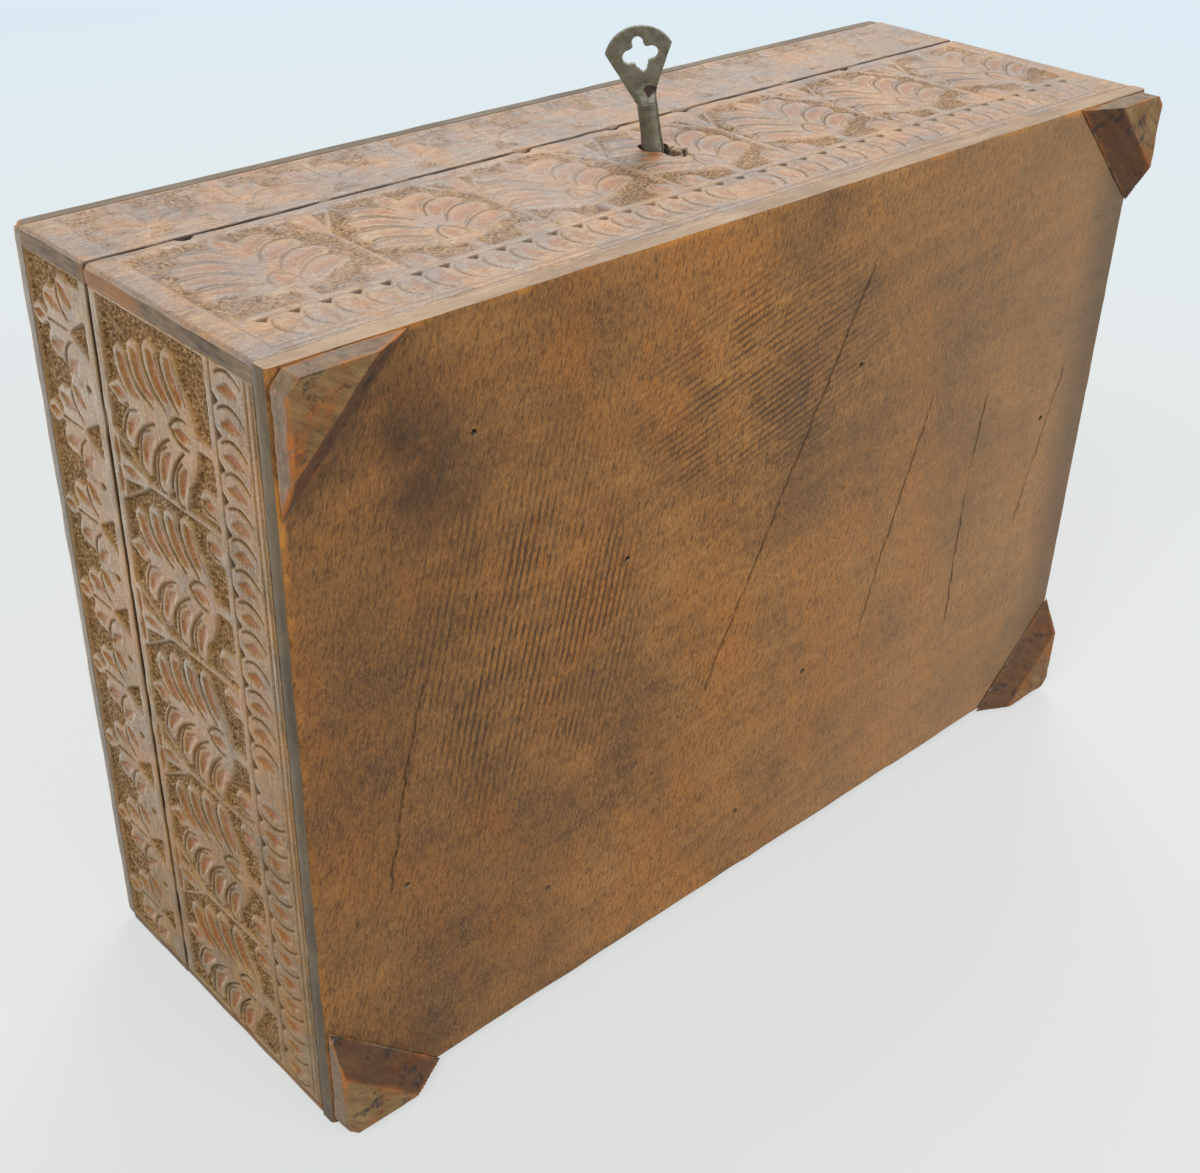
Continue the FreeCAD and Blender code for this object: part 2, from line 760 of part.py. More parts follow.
# Lid rails
def make_rails():
    board, rebates = long_board("lid_front_rail", False, LID_BASE, "rail_height")
    tools = rebates + all_rail_holes + striker_screw_holes + [rail_carving("front")]
    piece(cut("lid_front_rail_shape", board, tools), "lid_front_rail")

    board, rebates = long_board("lid_back_rail", True, LID_BASE, "rail_height")
    tools = rebates + hinge_mortises("lid_back_rail", True) + upper_screw_holes + all_rail_holes
    tools.append(rail_carving("back"))
    piece(cut("lid_back_rail_shape", board, tools), "lid_back_rail")

    for side in SIDE_SIGNS:
        board = side_board(f"lid_{side}_rail", side, LID_BASE, "rail_height")
        tools = all_rail_holes + [rail_carving(side)]
        piece(cut(f"lid_{side}_rail_shape", board, tools), f"lid_{side}_rail")


# Bottom board and lid top: flat boards with rounded arrises
def flat_board(name, base, thickness):
    body = doc.addObject("PartDesign::Body", f"{name}_body")
    outline = sketch_on(body, f"{name}_outline", "XY_Plane")
    draw_rectangle(outline, LEFT, FRONT, RIGHT, BACK)
    board = pad(body, f"{name}_blank", outline, thickness)
    place(body, "0", "0", base)
    return body, board


def make_bottom_board():
    body, board = flat_board("bottom", "foot_height", "board_thickness")
    lower = edges_where(board.Shape, lambda edge: edge.BoundBox.ZMax < value("board_thickness") / 2)
    round_edges(body, "bottom_arrises", board, lower, "board_edge_radius")
    piece(cut("bottom_shape", body, bottom_brad_holes + foot_brad_holes), "bottom_board")


def make_lid_top():
    body, board = flat_board("top", TOP_BASE, "top_thickness")
    corners = edges_where(board.Shape, is_upright)
    rounded = round_edges(body, "top_corners", board, corners, "top_corner_radius")
    upper = edges_where(rounded.Shape, lambda edge: edge.BoundBox.ZMin > value("top_thickness") / 2)
    round_edges(body, "top_arrises", rounded, upper, "top_edge_radius")
    piece(cut("top_shape", body, top_brad_holes + top_carving()), "lid_top")


# Feet: triangular brackets with a worn outer corner, the long face sloping in under the board
def make_foot(name, across, along, turn):
    body = doc.addObject("PartDesign::Body", f"{name}_body")
    lower = sketch_on(body, f"{name}_lower", "XY_Plane")
    upper = sketch_on(body, f"{name}_upper", "XY_Plane", "foot_height")
    for sketch, leg in ((lower, "foot_leg_bottom"), (upper, "foot_leg_top")):
        draw_outline(sketch, [("foot_corner", "0"), (leg, "0"), ("0", leg), ("0", "foot_corner")])
    loft = body.newObject("PartDesign::AdditiveLoft", f"{name}_loft")
    loft.Profile = lower
    loft.Sections = [upper]
    loft.Ruled = True
    doc.recompute()
    x = f"({across}) * {HALF_LENGTH}"
    y = f"({along}) * {HALF_WIDTH}"
    place(body, x, y, "0", FreeCAD.Rotation(FreeCAD.Vector(0, 0, 1), turn))
    piece(cut(f"{name}_shape", body, foot_brad_holes), name)


def make_feet():
    make_foot("foot_front_left", "-1", "-1", 0)
    make_foot("foot_front_right", "1", "-1", 90)
    make_foot("foot_back_right", "1", "1", 180)
    make_foot("foot_back_left", "-1", "1", 270)


# Butt hinges: the lower leaf carries the two outer knuckles, the upper leaf the middle one
OUTER_KNUCKLE = "((hinge_length - knuckle_length) / 2 - running_clearance)"


def knuckle_row(name, wide, spans):
    """Cylinders on the hinge axis, one for each pair of start and length."""
    return [
        rod(f"{name}_{number}", wide, length, (start, HINGE_Y, SEAM), ALONG_X)
        for number, (start, length) in enumerate(spans, start=1)
    ]


def hinge_leaf(name, centre, upper, screw_holes):
    start = f"{centre} - hinge_length / 2"
    middle = f"{centre} - knuckle_length / 2"
    far = f"{centre} + knuckle_length / 2"
    middle_span = [(middle, "knuckle_length")]
    outer_spans = [(start, OUTER_KNUCKLE), (f"{far} + running_clearance", OUTER_KNUCKLE)]
    if upper:
        own = middle_span
        width = f"{OUTER_KNUCKLE} + running_clearance"
        other = [(start, width), (far, width)]
    else:
        own = outer_spans
        other = [(f"{middle} - running_clearance", "knuckle_length + 2 * running_clearance")]
    z = LID_BASE if upper else f"{WALL_TOP} - leaf_thickness"
    size = ("hinge_length", "leaf_width + hinge_axis_out", "leaf_thickness")
    plate = block(f"{name}_plate", size, (start, f"{BACK} - leaf_width", z))
    notches = knuckle_row(f"{name}_notch", "knuckle_radius + running_clearance", other)
    trimmed = cut(f"{name}_trimmed", plate, notches)
    whole = joined(f"{name}_whole", [trimmed] + knuckle_row(f"{name}_knuckle", "knuckle_radius", own))
    bore = knuckle_row(f"{name}_bore", "pin_radius + pin_clearance", [(start, "hinge_length")])
    return cut(f"{name}_shape", whole, bore + screw_holes)


def make_hinges():
    for side, centre in HINGES.items():
        lower = hinge_leaf(f"{side}_lower_leaf", centre, False, lower_screw_holes)
        piece(lower, f"hinge_{side}_lower_leaf")
        upper = hinge_leaf(f"{side}_upper_leaf", centre, True, upper_screw_holes)
        piece(upper, f"hinge_{side}_upper_leaf")
        start = (f"{centre} - hinge_length / 2", HINGE_Y, SEAM)
        piece(rod(f"{side}_pin", "pin_radius", "hinge_length", start, ALONG_X), f"hinge_{side}_pin")


# Lock: plate on the inside of the front wall, case, bolt, guide pins, spring and drill pin
PLATE_FACE = f"({FRONT_INSIDE} + plate_thickness)"
CASE_TOP = f"({WALL_TOP} - case_drop)"
CASE_INSIDE = f"({PLATE_FACE} + case_depth - case_sheet)"
BOLT_BASE = f"({KEY_LEVEL} + bolt_lift)"
BOLT_Y = f"({PLATE_FACE} + bolt_back)"
BOLT_REST = "(0 - bolt_travel / 2)"
CASE_HALF_SPACE = "(case_width / 2 - case_sheet)"
BOLT_TAIL = f"({CASE_HALF_SPACE} - bolt_travel / 2 - bolt_end_gap)"
SLOT_OVERRUN = "(bolt_travel / 2 + guide_radius + slide_clearance)"
GUIDE_TAIL_PLACE = f"({BOLT_TAIL} - {SLOT_OVERRUN} - slot_end_wall)"
BOLT_HEAD_BASE = f"({BOLT_BASE} + bolt_head_rise)"
EYE_Y = f"({PLATE_FACE} + striker_plate_gap)"


def make_lock_plate():
    corner = (f"0 - {PLATE_WIDTH} / 2", FRONT_INSIDE, f"{WALL_TOP} - plate_drop - plate_height")
    plate = block("lock_plate_sheet", (PLATE_WIDTH, "plate_thickness", "plate_height"), corner)
    opening = keyhole(
        "plate_keyhole",
        "(shank_radius + running_clearance)",
        "(bit_thickness + 2 * running_clearance)",
        "(bit_radius + running_clearance)",
        FRONT_INSIDE,
        "plate_thickness",
    )
    piece(cut("lock_plate_shape", plate, [opening] + lock_screw_holes), "lock_plate")


def make_lock_case():
    base = f"{CASE_TOP} - case_height"
    outer = block(
        "lock_case_outer",
        ("case_width", "case_depth", "case_height"),
        ("0 - case_width / 2", PLATE_FACE, base),
    )
    inner = block(
        "lock_case_inner",
        ("case_width - 2 * case_sheet", "case_depth - case_sheet", "case_height - 2 * case_sheet"),
        ("case_sheet - case_width / 2", PLATE_FACE, f"{base} + case_sheet"),
    )
    slot_width = "(eye_width + 4 * running_clearance)"
    slot_depth = "striker_plate_gap + eye_depth + 2 * running_clearance"
    slot = block(
        "lock_case_slot",
        (slot_width, slot_depth, "case_sheet"),
        (f"eye_place - {slot_width} / 2", PLATE_FACE, f"{CASE_TOP} - case_sheet"),
    )
    piece(cut("lock_case_shape", outer, [inner, slot]), "lock_case")


def make_bolt():
    """A flat bolt: a notch for the key bit, a slotted tail and a narrower head for the eye."""
    body = doc.addObject("PartDesign::Body", "bolt_body")
    outline = sketch_on(body, "bolt_outline", "XZ_Plane")
    head_base = "bolt_head_rise"
    head_top = "bolt_head_rise + bolt_head_height"
    draw_outline(
        outline,
        [
            (f"0 - {BOLT_TAIL}", "0"),
            ("0 - talon_width / 2", "0"),
            ("0 - talon_width / 2", "talon_depth"),
            ("talon_width / 2", "talon_depth"),
            ("talon_width / 2", "0"),
            ("bolt_shoulder", "0"),
            ("bolt_shoulder", head_base),
            ("bolt_head_end", head_base),
            ("bolt_head_end", head_top),
            ("bolt_shoulder", head_top),
            ("bolt_shoulder", "bolt_height"),
            (f"0 - {BOLT_TAIL}", "bolt_height"),
        ],
    )
    pad(body, "bolt_plate", outline, "bolt_thickness")
    slot = sketch_on(body, "bolt_slot_outline", "XZ_Plane")
    low = "guide_tail_rise - guide_radius - slide_clearance"
    high = "guide_tail_rise + guide_radius + slide_clearance"
    near = f"{SLOT_OVERRUN} - {GUIDE_TAIL_PLACE}"
    far = f"0 - {SLOT_OVERRUN} - {GUIDE_TAIL_PLACE}"
    draw_rectangle(slot, far, low, near, high)
    pocket(body, "bolt_slot", slot, "2 * bolt_thickness", midplane=True)
    place(body, BOLT_REST, f"{BOLT_Y} + bolt_thickness", BOLT_BASE)
    piece(body, "lock_bolt")


def make_guide_pins():
    """One pin in the slot of the tail, one under and one over the head of the bolt."""
    beside = "(slide_clearance + guide_radius)"
    places = {
        "tail": (f"0 - {GUIDE_TAIL_PLACE}", f"{BOLT_BASE} + guide_tail_rise"),
        "under": ("guide_head_place", f"{BOLT_HEAD_BASE} - {beside}"),
        "over": ("guide_head_place", f"{BOLT_HEAD_BASE} + bolt_head_height + {beside}"),
    }
    length = "case_depth - case_sheet - running_clearance"
    pins = [
        rod(f"guide_pin_{name}", "guide_radius", length, (x, PLATE_FACE, z), ALONG_Y)
        for name, (x, z) in places.items()
    ]
    piece(group("guide_pins", pins), "lock_guide_pins")


def make_spring():
    """A leaf riveted under the top of the case, sloping down to just above the bolt."""
    body = doc.addObject("PartDesign::Body", "spring_body")
    outline = sketch_on(body, "spring_outline", "XZ_Plane")
    under_case = f"{CASE_TOP} - case_sheet"
    drop = f"({under_case} - {BOLT_BASE} - bolt_height - running_clearance)"
    draw_outline(
        outline,
        [
            ("0", "0"),
            ("spring_foot_length", "0"),
            ("spring_reach", f"0 - {drop} + spring_thickness"),
            ("spring_reach", f"0 - {drop}"),
            ("spring_foot_length", "0 - spring_thickness"),
            ("0", "0 - spring_thickness"),
        ],
    )
    pad(body, "spring_leaf", outline, "spring_width", midplane=True)
    start = f"spring_end_gap - {CASE_HALF_SPACE}"
    place(body, start, f"{BOLT_Y} + bolt_thickness / 2", under_case)
    piece(body, "lock_spring")


def make_drill_pin():
    start = ("0", CASE_INSIDE, KEY_LEVEL)
    piece(rod("drill_pin", "drill_pin_radius", "drill_pin_length", start, AGAINST_Y), "lock_drill_pin")


# Striker: plate on the inside of the lid rail, with an arm and an eye that drops into the lock
def make_striker():
    base = f"{LID_BASE} + striker_rise"
    size = ("striker_width", "striker_thickness", "striker_height")
    plate = block("striker_sheet", size, ("eye_place - striker_width / 2", FRONT_INSIDE, base))
    left = "eye_place - eye_width / 2"
    arm_size = ("eye_width", f"{EYE_Y} + eye_depth - {FRONT_INSIDE}", "striker_arm_height")
    arm = block("striker_arm", arm_size, (left, FRONT_INSIDE, base))
    foot = f"{LID_BASE} - eye_reach"
    tongue_size = ("eye_width", "eye_depth", "eye_reach + striker_rise + striker_arm_height")
    tongue = block("striker_tongue", tongue_size, (left, EYE_Y, foot))
    hole_size = ("eye_width", "eye_depth - 2 * eye_cheek", "bolt_head_height + 2 * running_clearance")
    hole_corner = (left, f"{EYE_Y} + eye_cheek", f"{BOLT_HEAD_BASE} - running_clearance")
    hole = block("striker_eye", hole_size, hole_corner)
    whole = joined("striker_whole", [plate, arm, tongue])
    piece(cut("striker_shape", whole, [hole] + striker_screw_holes), "striker")


# Key: rolled tube shank on the lock's axis, bit inside the case, flat pierced bow outside
SHANK_INNER = f"({CASE_INSIDE} - shank_end_gap)"
SHANK_OUTER = f"({FRONT} - shank_reach)"
SHANK_LENGTH = f"({SHANK_INNER} - {SHANK_OUTER})"


def make_key_shank():
    """Turned about its own axis, drawn with the bow end at the origin."""
    body = doc.addObject("PartDesign::Body", "shank_body")
    outline = sketch_on(body, "shank_outline", "XZ_Plane")
    bore = "(drill_pin_radius + drill_pin_clearance)"
    bore_top = f"({SHANK_LENGTH} - drill_pin_length + shank_end_gap - shank_bore_margin)"
    draw_outline(
        outline,
        [
            ("0", "0"),
            ("collar_radius", "0"),
            ("collar_radius", "collar_height"),
            ("shank_neck_radius", "collar_height"),
            ("shank_radius", "shank_reach"),
            ("shank_radius", SHANK_LENGTH),
            (bore, SHANK_LENGTH),
            (bore, bore_top),
            ("0", bore_top),
        ],
    )
    turned = body.newObject("PartDesign::Revolution", "shank_turned")
    turned.Profile = outline
    turned.ReferenceAxis = (outline, ["V_Axis"])
    turned.Angle = 360
    doc.recompute()
    seam = sketch_on(body, "shank_seam_outline", "XZ_Plane")
    inner = "shank_radius - shank_seam_depth"
    draw_rectangle(seam, inner, "collar_height", "2 * shank_radius", "shank_reach")
    pocket(body, "shank_seam", seam, "shank_seam_width", midplane=True)
    slot = sketch_on(body, "tang_slot_outline", "XZ_Plane")
    half = "(tang_width / 2 + tang_clearance)"
    draw_rectangle(slot, f"0 - {half}", "0 - tang_depth", half, "tang_depth + tang_clearance")
    pocket(body, "tang_slot", slot, "bow_sheet + 2 * tang_clearance", midplane=True)
    return body


def make_key_bit():
    """A stepped flag on one side of the shank, drawn in the plane of the shank's axis."""
    body = doc.addObject("PartDesign::Body", "bit_body")
    outline = sketch_on(body, "bit_outline", "XZ_Plane")
    near = f"({SHANK_LENGTH} - bit_width)"
    step = f"({SHANK_LENGTH} - bit_step_width)"
    draw_outline(
        outline,
        [
            ("0 - bit_root", near),
            ("0 - bit_radius", near),
            ("0 - bit_radius", step),
            ("bit_step_depth - bit_radius", step),
            ("bit_step_depth - bit_radius", SHANK_LENGTH),
            ("0 - bit_root", SHANK_LENGTH),
        ],
    )
    pad(body, "bit_flag", outline, "bit_thickness", midplane=True)
    return body


def make_key_bow():
    """A fan of thin sheet pierced with a quatrefoil; its straight tang leans with the neck."""
    body = doc.addObject("PartDesign::Body", "bow_body")
    outline = sketch_on(body, "bow_outline", "XZ_Plane")
    shoulder = "(bow_width / 2)"
    half = "(bow_neck_width / 2)"
    side = "0 - bow_shoulder_height"
    rise = "(bow_height - bow_shoulder_height)"
    radius = f"(({shoulder} * {shoulder} + {rise} * {rise}) / (2 * {rise}))"
    corners = [(shoulder, side), (half, "0"), (f"0 - {half}", "0"), (f"0 - {shoulder}", side)]
    crown_points = [corners[-1], ("0", "0 - bow_height"), corners[0]]
    ends = [FreeCAD.Vector(value(x), value(y), 0) for x, y in crown_points]
    crown = outline.addGeometry(Part.Arc(*ends), False)
    spots = [FreeCAD.Vector(value(x), value(y), 0) for x, y in corners]
    lines = [
        outline.addGeometry(Part.LineSegment(first, second), False)
        for first, second in zip(spots, spots[1:])
    ]
    for edge, (x, y) in zip(lines, corners):
        pin_point(outline, edge, 1, x, y)
    pin_point(outline, lines[-1], 2, *corners[-1])
    for first, second in zip(lines, lines[1:]):
        outline.addConstraint(Sketcher.Constraint("Coincident", first, 2, second, 1))
    starts_right = outline.getPoint(crown, 1).x > 0
    right_end, left_end = (1, 2) if starts_right else (2, 1)
    outline.addConstraint(Sketcher.Constraint("Coincident", crown, right_end, lines[0], 1))
    outline.addConstraint(Sketcher.Constraint("Coincident", crown, left_end, lines[-1], 2))
    index = outline.addConstraint(Sketcher.Constraint("Radius", crown, value(radius)))
    outline.setExpression(f"Constraints[{index}]", sized(radius))
    pad(body, "bow_fan", outline, "bow_sheet", midplane=True)
    return body


def quatrefoil_tools():
    """Four round lobes about a square core."""
    deep = "2 * bow_sheet"
    sides = (("0", "-1"), ("-1", "0"), ("1", "0"), ("0", "1"))
    tools = []
    for number, (across, along) in enumerate(sides, start=1):
        x = f"({across}) * lobe_offset"
        z = f"0 - quatrefoil_rise + ({along}) * lobe_offset"
        tools.append(rod(f"lobe_{number}", "lobe_radius", deep, (x, "0 - bow_sheet", z), ALONG_Y))
    size = ("quatrefoil_core", deep, "quatrefoil_core")
    half = "quatrefoil_core / 2"
    corner = (f"0 - {half}", "0 - bow_sheet", f"0 - quatrefoil_rise - {half}")
    tools.append(block("quatrefoil_core_block", size, corner))
    return tools


def make_key():
    """The three pieces of the key, turned together to the angle in which the key stands."""
    # key frame: local Z runs along the shank into the lock, local X is the bow's width
    rest = FreeCAD.Rotation(FreeCAD.Vector(0, 1, 0), 90 - value("key_rest_angle"))
    into_lock = rest.multiply(ALONG_Y)
    shank = make_key_shank()
    place(shank, "0", SHANK_OUTER, KEY_LEVEL, into_lock)
    piece(shank, "key_shank")
    bit = make_key_bit()
    seat = rod("bit_seat", "shank_radius", SHANK_LENGTH, ("0", "0", "0"), ALONG_Z)
    flag = cut("bit_shape", bit, [seat])
    place(flag, "0", SHANK_OUTER, KEY_LEVEL, into_lock)
    piece(flag, "key_bit")
    bow = make_key_bow()
    pierced = cut("bow_pierced", bow, quatrefoil_tools())
    lean = FreeCAD.Rotation(FreeCAD.Vector(0, 1, 0), value("bow_lean"))
    drop = "0 - bow_neck_width / 2 * sin(bow_lean) - tang_clearance"
    place(pierced, "0", "0", drop, lean)
    tang_size = ("tang_width", "bow_sheet", "2 * tang_depth")
    tang_corner = ("0 - tang_width / 2", "0 - bow_sheet / 2", "0 - tang_depth")
    tang = block("bow_tang", tang_size, tang_corner)
    whole = joined("bow_shape", [pierced, tang])
    place(whole, "0", SHANK_OUTER, KEY_LEVEL, into_lock)
    piece(whole, "key_bow")


make_walls()
make_rails()
make_bottom_board()
make_lid_top()
make_feet()
make_hinges()
make_lock_plate()
make_lock_case()
make_bolt()
make_guide_pins()
make_spring()
make_drill_pin()
make_striker()
make_key()
doc.recompute()

# Every object must be sound before a file is written
for item in doc.Objects:
    if "Invalid" in item.State or "Error" in item.State:
        raise RuntimeError(f"{item.Label} failed: {item.State}")
for item in pieces:
    if item.Shape.isNull() or not item.Shape.isValid() or item.Shape.Volume <= 0:
        raise RuntimeError(f"{item.Label} has no sound shape")

os.makedirs("parts", exist_ok=True)
for item in pieces:
    item.Shape.exportStep(f"parts/{item.Label}.step")
    box = item.Shape.BoundBox
    lows = f"{box.XMin:.2f} {box.YMin:.2f} {box.ZMin:.2f}"
    highs = f"{box.XMax:.2f} {box.YMax:.2f} {box.ZMax:.2f}"
    solids = len(item.Shape.Solids)
    print(f"{item.Label}: {solids} solids, {item.Shape.Volume:.1f} mm3, {lows} to {highs}")
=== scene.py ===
import bmesh
import bpy
import numpy as np
from mathutils import Matrix, Vector, noise


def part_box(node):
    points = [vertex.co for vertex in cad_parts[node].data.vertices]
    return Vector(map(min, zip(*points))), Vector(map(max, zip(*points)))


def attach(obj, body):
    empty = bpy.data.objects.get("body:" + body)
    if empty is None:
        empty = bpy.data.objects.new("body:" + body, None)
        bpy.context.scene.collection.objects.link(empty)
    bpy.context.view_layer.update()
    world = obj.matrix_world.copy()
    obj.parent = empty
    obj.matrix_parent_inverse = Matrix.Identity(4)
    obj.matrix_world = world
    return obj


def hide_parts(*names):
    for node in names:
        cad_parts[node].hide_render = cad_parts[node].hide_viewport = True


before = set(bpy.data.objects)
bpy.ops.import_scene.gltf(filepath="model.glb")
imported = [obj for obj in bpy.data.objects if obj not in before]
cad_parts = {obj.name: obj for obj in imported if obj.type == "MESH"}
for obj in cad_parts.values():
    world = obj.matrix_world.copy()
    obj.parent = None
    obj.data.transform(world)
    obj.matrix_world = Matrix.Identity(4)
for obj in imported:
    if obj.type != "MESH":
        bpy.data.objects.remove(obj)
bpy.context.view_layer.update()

# Front wall
# A hardwood board carved in low relief: seven palmettes on a punched ground over a border of notches
# and petals. It laps over the ends of the side walls, and the keyhole is cut right through it.

MM = 0.001
GROUND_LEVEL = -1.3
RASTER_CELL = 0.2
OUTLINE_MARGIN = 1.5
SEAM_HALF = 0.8


def ease(share):
    """A smooth step from 0 to 1."""
    share = np.clip(share, 0, 1)
    return share * share * (3 - 2 * share)


def rounded(share):
    """Rises from 0 to 1 as a quarter circle does, like the worn edge of a carved form."""
    share = np.clip(share, 0, 1)
    return np.sqrt(share * (2 - share))


def bow(start, middle, end):
    """Nine points of a bent line through three points."""
    t = np.linspace(0, 1, 9)[:, None]
    start, middle, end = (np.array(p, float) for p in (start, middle, end))
    return start * (1 - t) * (1 - 2 * t) + middle * 4 * t * (1 - t) + end * t * (2 * t - 1)


class Carving:
    """A carved face as heights over a raster, in millimetres. Seen from outside, u runs to the right
    and v up, and the uncut surface of the board is at height 0."""

    def __init__(self, left, right, low, high, seed):
        self.left, self.low = left, low
        self.chance = np.random.default_rng(seed)
        columns = np.arange(left, right + RASTER_CELL, RASTER_CELL)
        rows = np.arange(low, high + RASTER_CELL, RASTER_CELL)
        self.u, self.v = np.meshgrid(columns, rows)
        self.to_edge_u = np.minimum(self.u - left, right - self.u)
        self.height, self.ground, self.gouge, self.worn, self.dirt_and_shade = np.zeros((5, *self.u.shape))
        self.work_at()

    def work_at(self, shift=(0, 0), quarter_turns=0, size=1.0):
        """Sets where the next motifs go: their own origin, turn and size on the board."""
        turn = np.linalg.matrix_power(np.array([[0, 1], [-1, 0]]), quarter_turns % 4)
        self.turn, self.shift, self.size = turn * size, shift, size

    def put(self, motif, u, v=0.0):
        """Carves a motif with its own origin at a place on the board."""
        before = self.shift
        self.shift = before + np.array((u, v)) @ self.turn
        motif(self)
        self.shift = before

    def across(self, path, widths):
        """How far the cells near a stroke are from its middle line, as a share of its half width,
        and that half width."""
        path = np.array(path, float) @ self.turn + self.shift
        widths = self.size * np.interp(np.linspace(0, 1, len(path)),
                                       np.linspace(0, 1, len(widths)), widths)
        margin = widths.max() + RASTER_CELL
        first = ((path.min(axis=0) - margin - (self.left, self.low)) / RASTER_CELL).astype(int)
        last = ((path.max(axis=0) + margin - (self.left, self.low)) / RASTER_CELL).astype(int) + 2
        first, last = np.maximum(first, 0), np.maximum(last, 0)
        window = np.s_[first[1]:last[1], first[0]:last[0]]
        u, v = self.u[window], self.v[window]
        share, width = np.full(u.shape, 99.0), np.ones(u.shape)
        for (au, av), (bu, bv), start_width, end_width in zip(path, path[1:], widths, widths[1:]):
            length = max((bu - au) ** 2 + (bv - av) ** 2, 1e-9)
            t = np.clip(((u - au) * (bu - au) + (v - av) * (bv - av)) / length, 0, 1)
            here = start_width + (end_width - start_width) * t
            off = np.hypot(u - au - t * (bu - au), v - av - t * (bv - av)) / here
            nearer = off < share
            share[nearer], width[nearer] = off[nearer], here[nearer]
        return window, share, width

    def inside(self, outline):
        """Signed distance from a closed outline, positive inside it."""
        closed = np.array([*outline, outline[0]], float)
        window, distance, _ = self.across(closed, [OUTLINE_MARGIN])
        closed = closed @ self.turn + self.shift
        u, v = self.u[window], self.v[window]
        within = np.zeros(u.shape, bool)
        for (au, av), (bu, bv) in zip(closed, closed[1:]):
            if av != bv:
                within ^= ((av > v) != (bv > v)) & (u < (bu - au) * (v - av) / (bv - av) + au)
        return window, np.where(within, distance, -distance) * OUTLINE_MARGIN * self.size

    def leave(self, window, inside, level):
        """Leaves wood standing to a level where inside is 1."""
        standing = GROUND_LEVEL + (level - GROUND_LEVEL) * inside
        self.height[window] = np.maximum(self.height[window], standing)
        self.ground[window] = np.minimum(self.ground[window], 1 - inside)

    def form(self, path, widths, level=0.0, edge=1.0):
        """A raised form that follows a line."""
        window, share, width = self.across(path, widths)
        self.leave(window, rounded((1 - share) * width / edge), level)

    def flat(self, outline, level, edge=0.5):
        """A raised form with a given outline."""
        window, distance = self.inside(outline)
        self.leave(window, rounded(distance / edge), level)

    def sink(self, outline):
        """Cuts the ground down inside an outline."""
        window, distance = self.inside(outline)
        cut = ease(distance / 0.35)
        self.height[window] += (GROUND_LEVEL - self.height[window]) * cut
        self.ground[window] = np.maximum(self.ground[window], cut)

    def scoop(self, path, widths, depth):
        """A hollow gouge cut."""
        window, share, _ = self.across(path, widths)
        keen = 1 - 0.75 * self.worn[window]
        self.height[window] -= depth * keen * np.clip(1 - share ** 2, 0, 1)
        self.gouge[window] = np.maximum(self.gouge[window], keen * ease(1.6 * (1 - share)))

    def soil_and_shade(self, window, amount):
        """Darkens a cut with grime and painted shade."""
        self.dirt_and_shade[window] = np.maximum(self.dirt_and_shade[window], np.clip(amount, 0, 1))

    def slit(self, path, widths, depth):
        """A narrow cut with sloping walls, darkened with painted shade and grime."""
        window, share, _ = self.across(path, widths)
        keen = 1 - 0.75 * self.worn[window]
        self.height[window] -= depth * keen * np.clip(1 - share, 0, 1)
        self.soil_and_shade(window, 1.5 * (1 - share) * keen * min(depth + 0.25, 1))

    def seam(self, levels):
        """Dark grime and painted shade in the joint, and a worn edge, along whole seams between
        boards.
        """
        for level in levels:
            wobble = 1 + 0.5 * self.drift(6, 2)
            near = ease(1 - np.abs(self.v - level) / (SEAM_HALF * wobble))
            self.height -= 0.5 * near
            self.dirt_and_shade = np.maximum(self.dirt_and_shade, 2.2 * near - 0.2).clip(0, 1)

    def hole(self, u, v, radius, depth):
        """A hole made with an awl, darkened with painted shade and grime."""
        window, share, _ = self.across([(u, v), (u, v + 0.01)], [radius])
        self.height[window] -= depth * ease(2.2 * (1 - share))
        self.soil_and_shade(window, 2.5 * (1 - share))

    def notch(self, u, v, half_width, tall, depth):
        """A three-cornered chip, deepest under the middle of its upper side, darkened with painted
        shade and grime.
        """
        window, distance = self.inside([(u - half_width, v), (u + half_width, v), (u, v - tall)])
        self.height[window] -= depth * np.clip(distance / 0.45, 0, 1)
        self.soil_and_shade(window, 0.4 + 2 * distance)

    def drift(self, pitch, pitch_up=None):
        """A smooth random field from -1 to 1, whose patches are about one pitch across."""
        pitch_up = pitch_up or pitch
        u = (self.u[0] - self.left) / pitch
        v = (self.v[:, 0] - self.low) / pitch_up
        knots = self.chance.uniform(-1, 1, (int(v[-1]) + 2, int(u[-1]) + 2))
        iu, iv = u.astype(int), v.astype(int)
        fu, fv = ease(u - iu)[None, :], ease(v - iv)[:, None]
        rows = knots[iv][:, iu] * (1 - fu) + knots[iv][:, iu + 1] * fu
        above = knots[iv + 1][:, iu] * (1 - fu) + knots[iv + 1][:, iu + 1] * fu
        return rows * (1 - fv) + above * fv

    def punch(self, pitch=1.25, radius=0.7, depth=0.6):
        """Strikes staggered rows of pits all over the sunk ground, and darkens them a little with
        painted shade and grime.
        """
        iu = np.floor((self.u - self.left) / pitch).astype(int)
        iv = np.floor((self.v - self.low) / pitch).astype(int)
        shift = self.chance.uniform(-0.3, 0.3, (2, iv.max() + 3, iu.max() + 3))
        strength = self.chance.uniform(0.5, 1.0, shift.shape[1:])
        pits = np.zeros_like(self.u)
        for up in (-1, 0, 1):
            for along in (-1, 0, 1):
                row, column = iv + up + 1, iu + along + 1
                stagger = 0.5 * ((iv + up) % 2)
                mid_u = self.left + (iu + along + 0.5 + stagger + shift[0][row, column]) * pitch
                mid_v = self.low + (iv + up + 0.5 + shift[1][row, column]) * pitch
                near = 1 - np.hypot(self.u - mid_u, self.v - mid_v) / radius
                pits = np.maximum(pits, np.clip(near, 0, 1) * strength[row, column])
        pits = ease(1.5 * pits) * self.ground
        self.height -= depth * pits
        self.dirt_and_shade = np.maximum(self.dirt_and_shade, 0.42 * pits)

